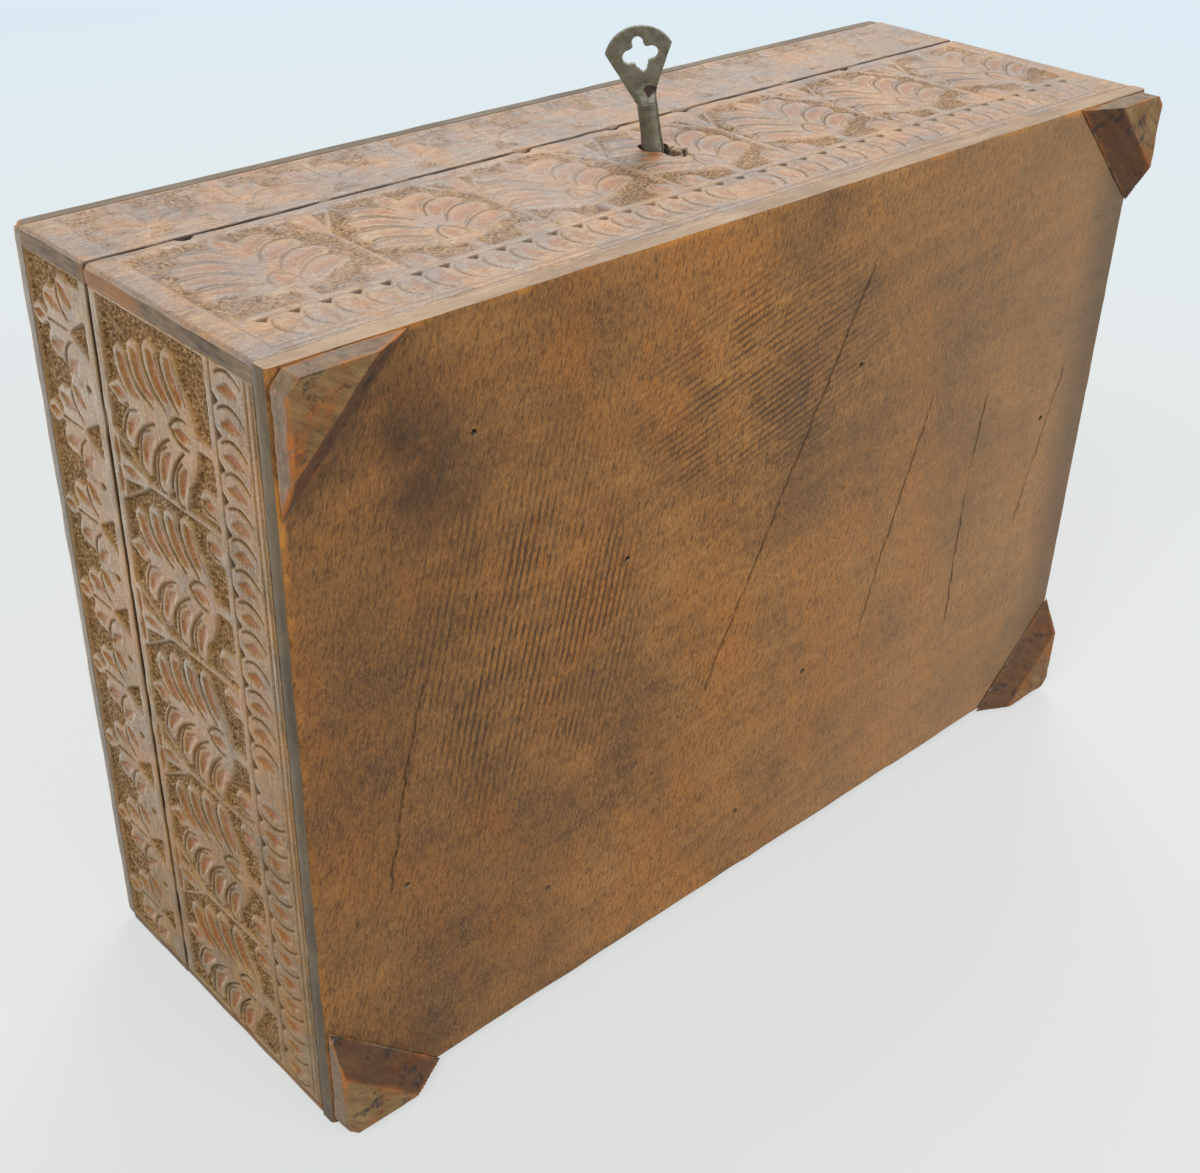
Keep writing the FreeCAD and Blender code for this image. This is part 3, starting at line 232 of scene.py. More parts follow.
    def softened(self, rounds):
        """The heights with their small forms smoothed away."""
        soft = self.height
        for _ in range(rounds):
            soft = (np.roll(soft, 1, 0) + np.roll(soft, -1, 0) + np.roll(soft, 1, 1)
                    + np.roll(soft, -1, 1) + soft) / 5
        return soft

    def rub(self, amount, patchiness, rounds=6):
        """Rubs the relief down, more in some patches than in others."""
        patches = np.clip(amount + patchiness * self.drift(34, 16), 0, 0.95)
        blend = np.clip(1.6 * patches, 0, 1)
        self.height = ((1 - blend) * self.height
                       + blend * self.softened(rounds)) * (1 - 0.88 * patches)
        self.ground *= 1 - 0.68 * patches
        self.gouge *= 1 - 0.75 * patches
        self.dirt_and_shade *= 1 - 0.8 * patches
        self.worn = patches

    def round_rim(self, ends, low_edge, high_edge, dents=0.25):
        """Rounds the four edges of the face, unevenly, as handling does."""
        self.ridge = np.clip((self.height - self.softened(12)) / 0.2, 0, 1)
        wobble = 1 + dents * (self.drift(9) - 1)
        for distance, radius in ((self.to_edge_u, ends), (self.v - self.low, low_edge),
                                 (self.v.max() - self.v, high_edge)):
            self.height -= radius * wobble * (1 - rounded(distance / (radius * wobble)))

    def sample(self, field, u, v):
        """The value of a field between the cells of the raster."""
        column = np.clip((u - self.left) / RASTER_CELL, 0, self.u.shape[1] - 1.001)
        row = np.clip((v - self.low) / RASTER_CELL, 0, self.u.shape[0] - 1.001)
        i, j = row.astype(int), column.astype(int)
        up, along = row - i, column - j
        low = field[i, j] * (1 - along) + field[i, j + 1] * along
        high = field[i + 1, j] * (1 - along) + field[i + 1, j + 1] * along
        return low * (1 - up) + high * up


PANEL_LOW, PANEL_HIGH = 29.9, 72.6
NOTCH_LINE = 27.4
NOTCH_PITCH = 7.65
LEAF_LOBES = [
    ((0.4, 53.0), (3.6, 61.2), (8.8, 64.4), 3.0),
    ((1.2, 47.4), (6.0, 55.4), (11.6, 58.2), 3.1),
    ((2.0, 42.4), (7.6, 49.2), (13.4, 51.6), 3.2),
    ((2.8, 38.0), (9.2, 42.9), (14.2, 44.6), 2.9),
    ((-0.4, 53.0), (-4.0, 61.4), (-8.8, 64.6), 3.2),
    ((-1.4, 47.0), (-6.7, 56.0), (-13.0, 58.9), 3.3),
    ((-2.2, 41.8), (-8.7, 49.8), (-14.9, 52.0), 3.3),
    ((-3.2, 37.8), (-10.0, 43.1), (-15.4, 45.0), 3.0),
]
LEAF_BODY = [(-2.0, 35.6), (2.0, 35.6), (5.6, 36.4), (9.4, 38.8), (13.6, 43.0), (14.4, 47.0),
             (13.4, 51.0), (12.6, 55.0), (10.6, 59.0), (8.6, 63.0), (3.0, 63.4), (-3.2, 63.6),
             (-8.4, 63.6), (-11.4, 60.0), (-13.4, 55.6), (-14.8, 51.2), (-15.4, 47.0),
             (-14.4, 43.2), (-9.8, 38.6), (-5.5, 36.4)]
FULLNESS = (1.07, 1.03)
FULL_SHIFT = (0.0, -1.2)


def palmette(carving):
    """A leaf with four lobes a side, each hollowed by a gouge, on a short stem. The lobes on its
    right are long and slim, and those on its left are broad."""
    sway = carving.chance.uniform(-0.3, 0.3, (len(LEAF_LOBES), 3, 2))
    lobes = [(np.array(lobe[:3]) * FULLNESS + FULL_SHIFT + move, lobe[3] * 1.12)
             for lobe, move in zip(LEAF_LOBES, sway)]
    carving.form([(0, 36.0), (0, 50.0), (0.2, 62.0)], [2.4, 3.0, 1.6])
    carving.flat(np.array(LEAF_BODY) * FULLNESS + FULL_SHIFT, -0.08)
    carving.form([(-0.3, PANEL_LOW - 1), (0, 36.5)], [1.75], edge=0.6)
    for lobe, half in lobes:
        carving.form(bow(*lobe), [0.5 * half, 0.9 * half, half, 0.95 * half], -0.03, edge=0.7)
    for upper in (0, 1, 2, 4, 5, 6):
        between = (bow(*lobes[upper][0]) + bow(*lobes[upper + 1][0]))[1:] / 2
        carving.slit(between, [0.3, 0.4, 0.5, 0.6], 0.75)
    for number, ((root, middle, tip), half) in enumerate(lobes):
        along = (tip - middle) / np.linalg.norm(tip - middle)
        up = np.array((-along[1], along[0])) * (1 if number < 4 else -1)
        if number < 4:
            inner = middle + (root - middle) * 0.45
            carving.scoop(bow(inner, middle + up * 0.2, tip), [0.4, 1.6, 2.0, 1.3], 0.65)
            side = bow(root, middle, tip) - up * 0.62 * half
            carving.slit(side[2:], [0.25, 0.4, 0.3], 0.35)
        else:
            carving.scoop(bow(middle + (root - middle) * 0.3, middle + along * 1.6, tip - along),
                          [0.4, 1.7, 1.8, 0.7], 0.55)
            crescent = [middle + (root - middle) * 0.4 + up * 0.6 * half, middle + up * 0.72 * half,
                        (middle + tip) / 2 + up * 0.78 * half, tip + (along + up) * 0.45 * half,
                        tip + along * 0.7 * half, tip + (along - up) * 0.45 * half]
            carving.slit(crescent, [0.25, 0.5, 0.5, 0.25], 0.6)
    carving.form([(0.2, 62.6), (0.2, 67.2), (0.2, 72.2)], [0.8, 3.3, 0.9], -0.02, edge=0.8)
    carving.scoop([(0.2, 64.6), (0.2, 67.2), (0.2, 70.2)], [0.35, 1.8, 0.3], 0.6)
    for arm in (-3.2, 3.2):
        carving.slit(bow((arm, 39.4), (arm * 0.86, 43.4), (0, 46.6)), [0.3, 0.5, 0.35], 0.7)
    carving.scoop([(-0.5, 38.6), (-0.5, 41.6), (-0.5, 45.2)], [0.4, 1.9, 0.35], 0.65)


def dome(carving):
    """A small bud that stands on the border below the leaves."""
    carving.form([(0, PANEL_LOW - 1), (0, 33.4)], [3.9], -0.02, edge=0.7)
    carving.scoop([(0, 30.6), (0, 33.4), (0, 36.2)], [0.4, 1.9, 0.3], 0.6)
    carving.slit(bow((-2.3, 31.5), (-1.9, 35.2), (0.6, 36.0)), [0.25, 0.45, 0.25], 0.5)


def stem(carving):
    """An upright between two leaves that opens into a fork with a small flower in it."""
    carving.form([(0, PANEL_LOW - 1), (0, 60.0)], [0.95], edge=0.5)
    carving.flat([(-0.9, 58.4), (0.9, 58.4), (9.6, 72.4), (9.4, 74.0), (-9.6, 74.0),
                  (-9.7, 73.0)], 0.0, edge=0.45)
    for side in (-1, 1):
        carving.sink([(side * 1.5, 61.0), (side * 7.3, 70.5), (side * 3.4, 70.4),
                      (side * 2.6, 66.2)])
        carving.scoop([(side * 0.7, 72.3), (side * 3.6, 72.4), (side * 6.6, 72.3)],
                      [0.4, 1.15, 0.4], 0.65)
    carving.scoop([(-0.1, 63.4), (0, 67.2), (0, 70.4)], [0.35, 1.35, 0.3], 0.7)
    carving.put(dome, -4.6)
    carving.put(dome, 5.7)


def carve_panel(carving, leaves, stems, left, right):
    """A panel of leaves on a punched ground."""
    carving.sink([(left, PANEL_LOW), (right, PANEL_LOW), (right, PANEL_HIGH),
                  (left, PANEL_HIGH)])
    for u in stems:
        carving.put(stem, u)
    for u in leaves:
        carving.put(palmette, u)


def petal_border(carving, left, right, mitred=False):
    """Chips in a row, a row of petals that all lean away from the middle, and two scribed lines,
    which reach to the next side's where the corner is mitred."""
    middle = (left + right) / 2
    count = int((right - left) / 2 / NOTCH_PITCH) + 1
    for place in range(-count, count + 1):
        u = middle + place * NOTCH_PITCH + carving.chance.uniform(-0.25, 0.25)
        if left + 1.5 < u < right - 1.5:
            carving.notch(u, NOTCH_LINE, 1.65, 2.1, 1.9)
        away = -1 if place < 0 else 1
        petal = u + NOTCH_PITCH / 2 * away
        if left + 3.5 < petal < right - 3.5:
            lean = carving.chance.uniform(-0.25, 0.25)
            edge = bow((petal + away * 2.3, 25.6), (petal + away * 3.7, 21.0),
                       (petal + away * 1.4, 16.2))
            carving.scoop([(petal - away * 0.8 + lean, 24.6), (petal - away * 0.3, 21.3),
                           (petal - away * 0.9 - lean, 18.0)], [0.4, 1.9, 0.4], 0.6)
            carving.slit(edge, [0.2, 0.5, 0.2], 0.7)
    for level, depth in ((14.6, 0.3), (12.6, 0.3), (NOTCH_LINE + 0.1, 0.2)):
        reach = PANEL_LOW - level if mitred else 0
        carving.slit([(left - reach, level), (right + reach, level)], [0.35], depth)


def leaf_wall(face, seed, leaves, stems, ends, wear):
    """The carving of a wall: a rubbed panel of leaves over a crisper petal border."""
    carving = face.carving(seed)
    carve_panel(carving, leaves, stems, *ends)
    carving.punch()
    carving.rub(*wear)
    petal_border(carving, *ends)
    return carving


ACROSS_AND_UP = {
    "-y": (Vector((1, 0, 0)), Vector((0, 0, 1))),
    "+y": (Vector((-1, 0, 0)), Vector((0, 0, 1))),
    "-x": (Vector((0, -1, 0)), Vector((0, 0, 1))),
    "+x": (Vector((0, 1, 0)), Vector((0, 0, 1))),
    "+z": (Vector((1, 0, 0)), Vector((0, 1, 0))),
    "-z": (Vector((1, 0, 0)), Vector((0, -1, 0))),
}


class Face:
    """Where the outer face of a board lies: its directions across, up and out, and how far it
    reaches along them, in metres."""

    def __init__(self, node, outward):
        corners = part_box(node)
        across, up = ACROSS_AND_UP[outward]
        out = across.cross(up)
        self.left, self.right = sorted(across.dot(corner) for corner in corners)
        self.low, self.high = sorted(up.dot(corner) for corner in corners)
        self.back, front = sorted(out.dot(corner) for corner in corners)
        self.thickness = front - self.back
        self.place = (Matrix.Translation(out * front)
                      @ Matrix((across, up, out)).transposed().to_4x4())

    def carving(self, seed):
        """A raster as large as the face."""
        return Carving(self.left / MM, self.right / MM, self.low / MM, self.high / MM, seed)


def solid_box(mesh, low, high):
    """Adds a plain block between two corners."""
    low, high = Vector(low), Vector(high)
    verts = bmesh.ops.create_cube(mesh, size=1)["verts"]
    bmesh.ops.scale(mesh, vec=high - low, verts=verts)
    bmesh.ops.translate(mesh, vec=(low + high) / 2, verts=verts)
    return verts


def rod(mesh, radius, length, place, sides=32):
    """Adds a round rod that lies along the Z axis of its place."""
    bmesh.ops.create_cone(mesh, cap_ends=True, segments=sides, radius1=radius, radius2=radius,
                          depth=length, matrix=place)


def lying_along_x(middle):
    """The place of a rod that lies along X."""
    return Matrix.Translation(middle) @ Matrix.Rotation(np.pi / 2, 4, "Y")


def points_in(parts):
    """The vertices among the parts that an operator has made."""
    return [part for part in parts if isinstance(part, bmesh.types.BMVert)]


def as_object(name, mesh):
    """Makes an object of a bmesh."""
    data = bpy.data.meshes.new(name)
    mesh.to_mesh(data)
    mesh.free()
    piece = bpy.data.objects.new(name, data)
    bpy.context.scene.collection.objects.link(piece)
    return piece


def settle(piece):
    """Turns a piece's modifiers into its mesh."""
    bpy.context.view_layer.update()
    shaped = bpy.data.meshes.new_from_object(
        piece.evaluated_get(bpy.context.evaluated_depsgraph_get()))
    shaped.materials.clear()
    piece.modifiers.clear()
    old, piece.data = piece.data, shaped
    bpy.data.meshes.remove(old)


def combine(piece, tool, operation="DIFFERENCE"):
    """Cuts one closed shape out of a piece, or joins it to the piece, and removes the tool."""
    tool = as_object("tool", tool)
    step = piece.modifiers.new("combine", "BOOLEAN")
    step.object, step.operation, step.solver = tool, operation, "MANIFOLD"
    settle(piece)
    bpy.data.objects.remove(tool)


def rows_of(parts, name):
    """One vector for each vertex or face of a mesh, as rows of numbers."""
    rows = np.empty(len(parts) * 3)
    parts.foreach_get(name, rows)
    return rows.reshape(-1, 3)


def store(piece, name, values):
    """Keeps a value at each vertex for the finish to read."""
    piece.data.attributes.new(name, "FLOAT", "POINT").data.foreach_set("value", values)


def carved_board(name, face, carving, pitch, cuts=(), corner=0.0):
    """A board with the carving on its outer face. Each cut is a function that adds a closed shape,
    in the face's own directions, to the mesh that is cut out of the board."""
    mesh = bmesh.new()
    bmesh.ops.create_grid(mesh, x_segments=round((face.right - face.left) / pitch / MM),
                          y_segments=round((face.high - face.low) / pitch / MM), size=0.5)
    bmesh.ops.scale(mesh, vec=(face.right - face.left, face.high - face.low, 1),
                    verts=mesh.verts)
    bmesh.ops.translate(mesh, verts=mesh.verts,
                        vec=((face.right + face.left) / 2, (face.high + face.low) / 2, 0))
    rim = [edge for edge in mesh.edges if edge.is_boundary]
    skirt = bmesh.ops.extrude_edge_only(mesh, edges=rim)["geom"]
    bmesh.ops.translate(mesh, vec=(0, 0, -face.thickness), verts=points_in(skirt))
    bmesh.ops.contextual_create(mesh, geom=[part for part in skirt
                                            if isinstance(part, bmesh.types.BMEdge)])
    bmesh.ops.recalc_face_normals(mesh, faces=mesh.faces)
    piece = as_object(name, mesh)
    points = rows_of(piece.data.vertices, "co")
    front = points[:, 2] > -face.thickness / 2
    points[front, 2] = MM * carving.sample(carving.height, points[front, 0] / MM,
                                           points[front, 1] / MM)
    if corner:
        middle = np.array(((face.left + face.right) / 2, (face.low + face.high) / 2))
        half = np.array((face.right - face.left, face.high - face.low)) / 2 - corner
        flat = points[:, :2] - middle
        past = np.abs(flat) - half
        round_one = (past > 0).all(axis=1)
        reach = past[round_one].max(axis=1) / np.hypot(*past[round_one].T)
        flat[round_one] = np.sign(flat[round_one]) * (half + past[round_one] * reach[:, None])
        points[:, :2] = flat + middle
    piece.data.vertices.foreach_set("co", points.ravel())
    for cut in cuts:
        tool = bmesh.new()
        cut(tool, face)
        combine(piece, tool)
    points = rows_of(piece.data.vertices, "co")
    front = points[:, 2] > max(-5 * MM, -0.8 * face.thickness)
    u, v = points[:, 0] / MM, points[:, 1] / MM
    for field in ("ground", "gouge", "worn", "dirt_and_shade", "ridge"):
        store(piece, field, np.where(front, carving.sample(getattr(carving, field), u, v), 0))
    normals = rows_of(piece.data.polygons, "normal")
    middles = rows_of(piece.data.polygons, "center")
    carved = (normals[:, 2] > 0.05) & (middles[:, 2] > -0.8 * face.thickness)
    ends = ~carved & (np.abs(normals[:, 0]) > 0.8)
    kinds = np.where(carved, 0, np.where(ends, 1, np.where(normals[:, 2] < -0.5, 3, 2)))
    piece.data.polygons.foreach_set("material_index", kinds.astype(np.int32))
    piece.data.polygons.foreach_set("use_smooth", np.ones(len(kinds), bool))
    piece.data.transform(face.place)
    piece.data.set_sharp_from_angle(angle=1.25)
    return piece


class Signal:
    """An output of a node in a finish, with arithmetic that adds Math nodes."""

    def __init__(self, finish, socket):
        self.finish, self.socket = finish, socket

    def math(self, operation, *others):
        return self.finish.add("ShaderNodeMath", {"operation": operation}, [self, *others])

    def __add__(self, other):
        return self.math("ADD", other)

    def __sub__(self, other):
        return self.math("SUBTRACT", other)

    def __rsub__(self, other):
        return self.finish.add("ShaderNodeMath", {"operation": "SUBTRACT"}, [other, self])

    def __mul__(self, other):
        return self.math("MULTIPLY", other)

    __radd__, __rmul__ = __add__, __mul__

    def between(self, low, high):
        """0 below one value and 1 above another."""
        return ((self - low) * (1 / (high - low))).math("MINIMUM", 1.0).math("MAXIMUM", 0.0)


class Nodes:
    """A node tree and the ways to build it."""

    def __init__(self, tree):
        self.tree = tree

    def add(self, kind, settings=None, inputs=(), out=0):
        """Adds a node: its settings first, then the values or links of its sockets."""
        node = self.tree.nodes.new(kind)
        for name, value in (settings or {}).items():
            setattr(node, name, value)
        self.feed(node, inputs if isinstance(inputs, dict) else dict(enumerate(inputs)))
        return Signal(self, node.outputs[out])

    def feed(self, node, inputs):
        for place, value in inputs.items():
            if isinstance(value, Signal):
                self.tree.links.new(value.socket, node.inputs[place])
            else:
                node.inputs[place].default_value = value

    def paint(self, colour, *coats):
        """Lays coats over a colour, each given as its share and its own colour."""
        for share, coat in coats:
            colour = self.add("ShaderNodeMix", {"data_type": "RGBA"},
                              {0: share, 6: colour, 7: coat}, out=2)
        return colour


class Finish(Nodes):
    """A material, and what its nodes read from the piece."""

    def __init__(self, name):
        self.material = bpy.data.materials.new(name)
        self.material.use_nodes = True
        super().__init__(self.material.node_tree)
        self.surface = self.tree.nodes["Principled BSDF"]
        self.output = self.tree.nodes["Material Output"]
        self.here = self.add("ShaderNodeTexCoord", out="Object")

    def mark(self, name):
        """A value that the mesh carries at each vertex."""
        return self.add("ShaderNodeAttribute", {"attribute_name": name}, out="Fac")

    def noise(self, where, scale, detail=2.0, roughness=0.5):
        return self.add("ShaderNodeTexNoise", {}, {"Vector": where, "Scale": scale,
                        "Detail": detail, "Roughness": roughness})

    def stretched(self, along, draw, turn=0.0):
        """Object coordinates, drawn out along the grain, which may be turned about Z."""
        scale = {"x": (draw, 1, 1), "y": (1, draw, 1), "z": (1, 1, draw)}[along]
        return self.add("ShaderNodeMapping", {"vector_type": "TEXTURE"}, {
            "Vector": self.here, "Rotation": (0, 0, turn), "Scale": scale})

    def done(self, colour, roughness, height, bump, shine=0.5, metallic=0.0):
        """Joins colour, roughness and relief to the surface. The relief is given as a height and
        the strength and depth of its bump."""
        self.surface.inputs["Specular IOR Level"].default_value = shine
        self.feed(self.surface, {
            "Base Color": colour, "Roughness": roughness, "Metallic": metallic,
            "Normal": self.add("ShaderNodeBump", {}, {"Strength": bump[0], "Distance": bump[1],
                                                       "Height": height})})
        return self.material


def rgb(red, green, blue):
    """A colour as a screen shows it, from 0 to 255, turned into a shader's linear one."""
    return (*(((part / 255 + 0.055) / 1.055) ** 2.4 for part in (red, green, blue)), 1.0)


def carved_wood(name, along, tan, brown, glow, grey, polish_and_sheen_amount, shine):
    """Rubbed hardwood: tan forms with pale ridges, orange-brown gouges, a punched ground with dark
    pits, cuts darkened with grime and painted shade, and grey patches, partly polished where
    handled and partly painted sheen."""
    finish = Finish(name)
    fibre = finish.noise(finish.stretched(along, 9), 2300, 3, 0.65)
    streak = finish.noise(finish.stretched(along, 4), 520, 5, 0.72)
    patch = finish.noise(finish.here, 60, 6, 0.7)
    speck = finish.noise(finish.here, 1300, 3, 0.7)
    ground, gouge, worn = finish.mark("ground"), finish.mark("gouge"), finish.mark("worn")
    dirt_and_shade, ridge = finish.mark("dirt_and_shade"), finish.mark("ridge")
    warm = finish.noise(finish.here, 48, 6, 0.74).between(0.46, 0.60)
    # Grey patches: partly polished where handled, partly painted sheen.
    polish_and_sheen_patches = (finish.noise(finish.here, 58, 6, 0.74) + worn * 0.10).between(0.50, 0.64) * polish_and_sheen_amount
    rough = (ground + (finish.noise(finish.here, 300, 4, 0.75) - 0.5) * 1.4).between(0.3, 0.7)
    wood = finish.paint(
        tan,
        ((fibre + patch * 1.2 + streak * 1.3 - 1.42).between(0, 0.6), brown),
        (warm * (0.35 + streak * 0.5), glow),
        (polish_and_sheen_patches * (0.55 + fibre * 0.6), grey),
        (gouge * (patch * 1.6).between(0.2, 0.8) * 0.95, rgb(152, 88, 36)),
        (rough * 0.5, rgb(142, 102, 60)),
        (rough * speck.between(0.50, 0.60) * 0.55, rgb(62, 42, 24)),
        (rough * (1 - speck).between(0.52, 0.62) * 0.75, rgb(200, 166, 116)),
        (ridge * (streak * 0.9 + 0.1) * (0.6 - worn * 0.5), rgb(200, 174, 138)),
        (speck.between(0.56, 0.66) * 0.55, rgb(72, 50, 32)),
        ((1 - speck).between(0.58, 0.68) * 0.4, rgb(206, 182, 148)),
        # grime and painted shade in the cuts, seams and pits
        (dirt_and_shade * 0.96, rgb(40, 25, 14)))
    return finish.done(wood, 0.42 + rough * 0.3 + dirt_and_shade * 0.5 + patch * 0.12 - polish_and_sheen_patches * 0.1,
                       fibre * 0.5 + speck * (rough * 1.6 + 0.4) + streak * 0.5,
                       (0.9, 0.0004), shine)


def end_grain(name):
    """The sawn ends of a board, grey-brown and dry, with short pores."""
    finish = Finish(name)
    rings = finish.noise(finish.stretched("z", 6), 800, 4, 0.7)
    patch = finish.noise(finish.here, 70, 4, 0.65)
    wood = finish.paint(
        rgb(140, 118, 92),
        ((rings + patch).between(0.75, 1.25), rgb(70, 54, 40)),
        (finish.noise(finish.here, 45, 3).between(0.5, 0.68) * 0.7, rgb(160, 106, 58)))
    return finish.done(wood, 0.65, rings, (0.5, 0.0003), 0.2)


def planed_wood(name, along, light, dark, draw=14):
    """Planed hardwood with a long grain."""
    finish = Finish(name)
    grain = finish.noise(finish.stretched(along, draw), 330, 5, 0.68)
    fibre = finish.noise(finish.stretched(along, draw), 1900, 3, 0.65)
    stain = finish.noise(finish.here, 30, 5, 0.65)
    wood = finish.paint(light,
                        ((grain * 1.2 + stain - 0.65).between(0, 0.85), dark),
                        (fibre.between(0.60, 0.76) * 0.45, rgb(52, 34, 20)),
                        ((1 - fibre).between(0.60, 0.76) * 0.45, light))
    return finish.done(wood, 0.6 + (fibre - 0.5) * 0.3, fibre * 0.6 + grain * 0.4,
                       (0.5, 0.0003), 0.25)


def fit(piece, node, body, slot, *finishes):
    """Gives a piece its finishes and its place in the box. A board's finishes are those of its
    outer face, its ends, its edges and its inner face."""
    for finish in finishes:
        piece.data.materials.append(finish)
    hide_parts(node)
    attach(piece, body)


FRONT_LEAVES = (-122.5, -77.9, -38.6, 3.9, 45.3, 85.2, 127.5)
FRONT_STEMS = (-99.6, -57.1, -16.1, 24.3, 66.5, 106.3)
PANEL_ENDS = (-143.2, 143.2)
FRONT_LAP = 4.6 * MM
KEYHOLE = 4.0 * MM
BARE_SPOT = [(-5.6, 51.4), (-2.6, 53.6), (0.6, 53.0)]
SLOT_HALF = 1.7 * MM
SLOT_REACH = 9.2 * MM
SEAM_CHIPS = ((-28.2, 3.4), (2.4, 2.2), (28.6, 4.4), (-126.0, 1.4), (96.0, 1.8))
key_low, key_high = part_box("key_shank")
key_axis_z = (key_low.z + key_high.z) / 2


def end_laps(lap):
    """Leaves a tongue of the board's outer side at both ends, which covers the side boards' ends."""
    def cut(tools, face):
        depth = face.thickness
        for end in (face.left, face.right):
            solid_box(tools, (end - depth, face.low - depth, -2 * depth),
                      (end + depth, face.high + depth, -lap))
    return cut


def keyhole(tools, face):
    """A round hole for the key's shank."""
    rod(tools, KEYHOLE, 4 * face.thickness, Matrix.Translation((0, key_axis_z, 0)), 40)


def key_slot(tools, face):
    """The slot below the keyhole for the key's bit."""
    solid_box(tools, (-SLOT_HALF, key_axis_z - SLOT_REACH, -2 * face.thickness),
              (SLOT_HALF, key_axis_z - 1 * MM, face.thickness))


front_face = Face("front_wall", "-y")
front = leaf_wall(front_face, 11, FRONT_LEAVES, FRONT_STEMS, PANEL_ENDS, (0.58, 0.26, 9))
for end in PANEL_ENDS:
    front.slit([(end, 14.6), (end, 72.0)], [0.25], 0.25)
for place, size in SEAM_CHIPS:
    front.slit([(place - size, 77.2), (place, 76.2), (place + size, 77.2)], [0.6, 2.4, 0.6], 4.5)
window, share, _ = front.across(BARE_SPOT, [1.6, 3.0, 1.6])
front.gouge[window] = np.maximum(front.gouge[window], 1.6 * ease(1.4 * (1 - share)))
for u, v in front.chance.normal((2.6, key_axis_z / MM - 6.0), (1.3, 2.6), (22, 2)):
    front.hole(u, v, 0.8, 0.8)
front.seam((front.v.max(),))
front.round_rim(1.2, 0.6, 0.5)
front_wall = carved_board("front_board", front_face, front, 0.45,
                          [end_laps(FRONT_LAP), keyhole, key_slot])
ends_of_boards = end_grain("board_ends")
inside_wood = planed_wood("inside_wood", "x", rgb(150, 112, 76), rgb(104, 74, 48))
# The front is painted a paler, greyer tan than the other walls: partly wear from handling, partly
# painted light and sheen.
front_wood = carved_wood("front_wood", "x", rgb(182, 148, 110), rgb(116, 84, 56),
                         rgb(188, 134, 80), rgb(136, 127, 122), 0.62, shine=0.6)
fit(front_wall, "front_wall", "box", "carved_wood", front_wood, ends_of_boards, inside_wood,
    inside_wood)


# Side walls
# Shorter boards of the same wood, held between the laps of the front and the back wall. Their
# carving is the same leaves, sharper here because hands rub these sides less.

side_wood = carved_wood("side_wood", "y", rgb(164, 128, 74), rgb(106, 76, 38),
                        rgb(172, 116, 52), rgb(146, 134, 114), 0.45, shine=0.2)
side_inside_wood = planed_wood("side_inside_wood", "y", rgb(150, 112, 76), rgb(104, 74, 48))
LEFT_LEAVES = (-82.6, -42.2, -3.0, 37.2, 76.9)
LEFT_STEMS = (-62.1, -22.4, 17.3, 57.6)
for name, node, outward, seed, mirror in (("left_board", "left_wall", "-x", 23, 1),
                                          ("right_board", "right_wall", "+x", 37, -1)):
    face = Face(node, outward)
    side = leaf_wall(face, seed, [mirror * u for u in LEFT_LEAVES],
                     [mirror * u for u in LEFT_STEMS],
                     (face.left / MM + 0.9, face.right / MM - 0.9), (0.2, 0.2, 4))
    side.seam((side.low, side.v.max()))
    side.round_rim(0.3, 0.6, 0.5)
    board = carved_board(name, face, side, 0.4)
    fit(board, node, "box", "carved_wood", side_wood, ends_of_boards, side_inside_wood,
        side_inside_wood)


# Back wall
# The fourth board, carved like the front but with no lock. Its upper edge is cut away for the
# hinges' leaves and for their knuckles.

BACK_LAP = 2.4 * MM
KNUCKLE_ROOM = 2.7 * MM
LEAF_PLAY = 0.1 * MM
BED_DEPTH = 1.1 * MM
knuckle_low, knuckle_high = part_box("hinge_left_pin")
hinge_axis = Vector((0, (knuckle_low.y + knuckle_high.y) / 2, (knuckle_low.z + knuckle_high.z) / 2))


def leaf_places():
    """Across the back, the middle and the width of each lower leaf, and its inner side."""
    for side in ("left", "right"):
        low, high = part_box(f"hinge_{side}_lower_leaf")
        yield -(low.x + high.x) / 2, high.x - low.x, low.y


def hinge_seats(tools, face):
    """The groove for each hinge's knuckles."""
    out = face.place.inverted() @ hinge_axis
    for middle, width, _ in leaf_places():
        rod(tools, KNUCKLE_ROOM, width + 0.6 * MM, lying_along_x((middle, out.y, out.z)))


def hinge_beds(tools, face):
    """The shallow bed for each hinge's leaf, let into the board's edge."""
    edge = face.high if abs(face.high - hinge_axis.z) < abs(face.low - hinge_axis.z) else face.low
    for middle, width, inner_side in leaf_places():
        half = width / 2 + LEAF_PLAY
        inner = inner_side - LEAF_PLAY - (face.place @ Vector((0, 0, 0))).y
        solid_box(tools, (middle - half, edge - BED_DEPTH, inner),
                  (middle + half, edge + BED_DEPTH, 2 * MM))


back_face = Face("back_wall", "+y")
LEAF_PITCH = 41.4
BACK_LEAVES = [place * LEAF_PITCH for place in range(-3, 4)]
BACK_STEMS = [(place + 0.5) * LEAF_PITCH for place in range(-3, 3)]
back = leaf_wall(back_face, 41, BACK_LEAVES, BACK_STEMS, PANEL_ENDS, (0.2, 0.25))
back.seam((back.low, back.v.max()))
back.round_rim(1.2, 0.6, 0.5)
back_wall = carved_board("back_board", back_face, back, 0.45,
                         [end_laps(BACK_LAP), hinge_seats, hinge_beds])
back_wood = carved_wood("back_wood", "x", rgb(166, 130, 80), rgb(108, 77, 42),
                        rgb(176, 118, 56), rgb(146, 134, 116), 0.5, shine=0.25)
fit(back_wall, "back_wall", "box", "carved_wood", back_wood, ends_of_boards, inside_wood,
    inside_wood)


# Bottom board
# A plain planed board under the walls, flush with them. It has dried out over the years: long
# cracks run across it, and the marks of the saw still show.

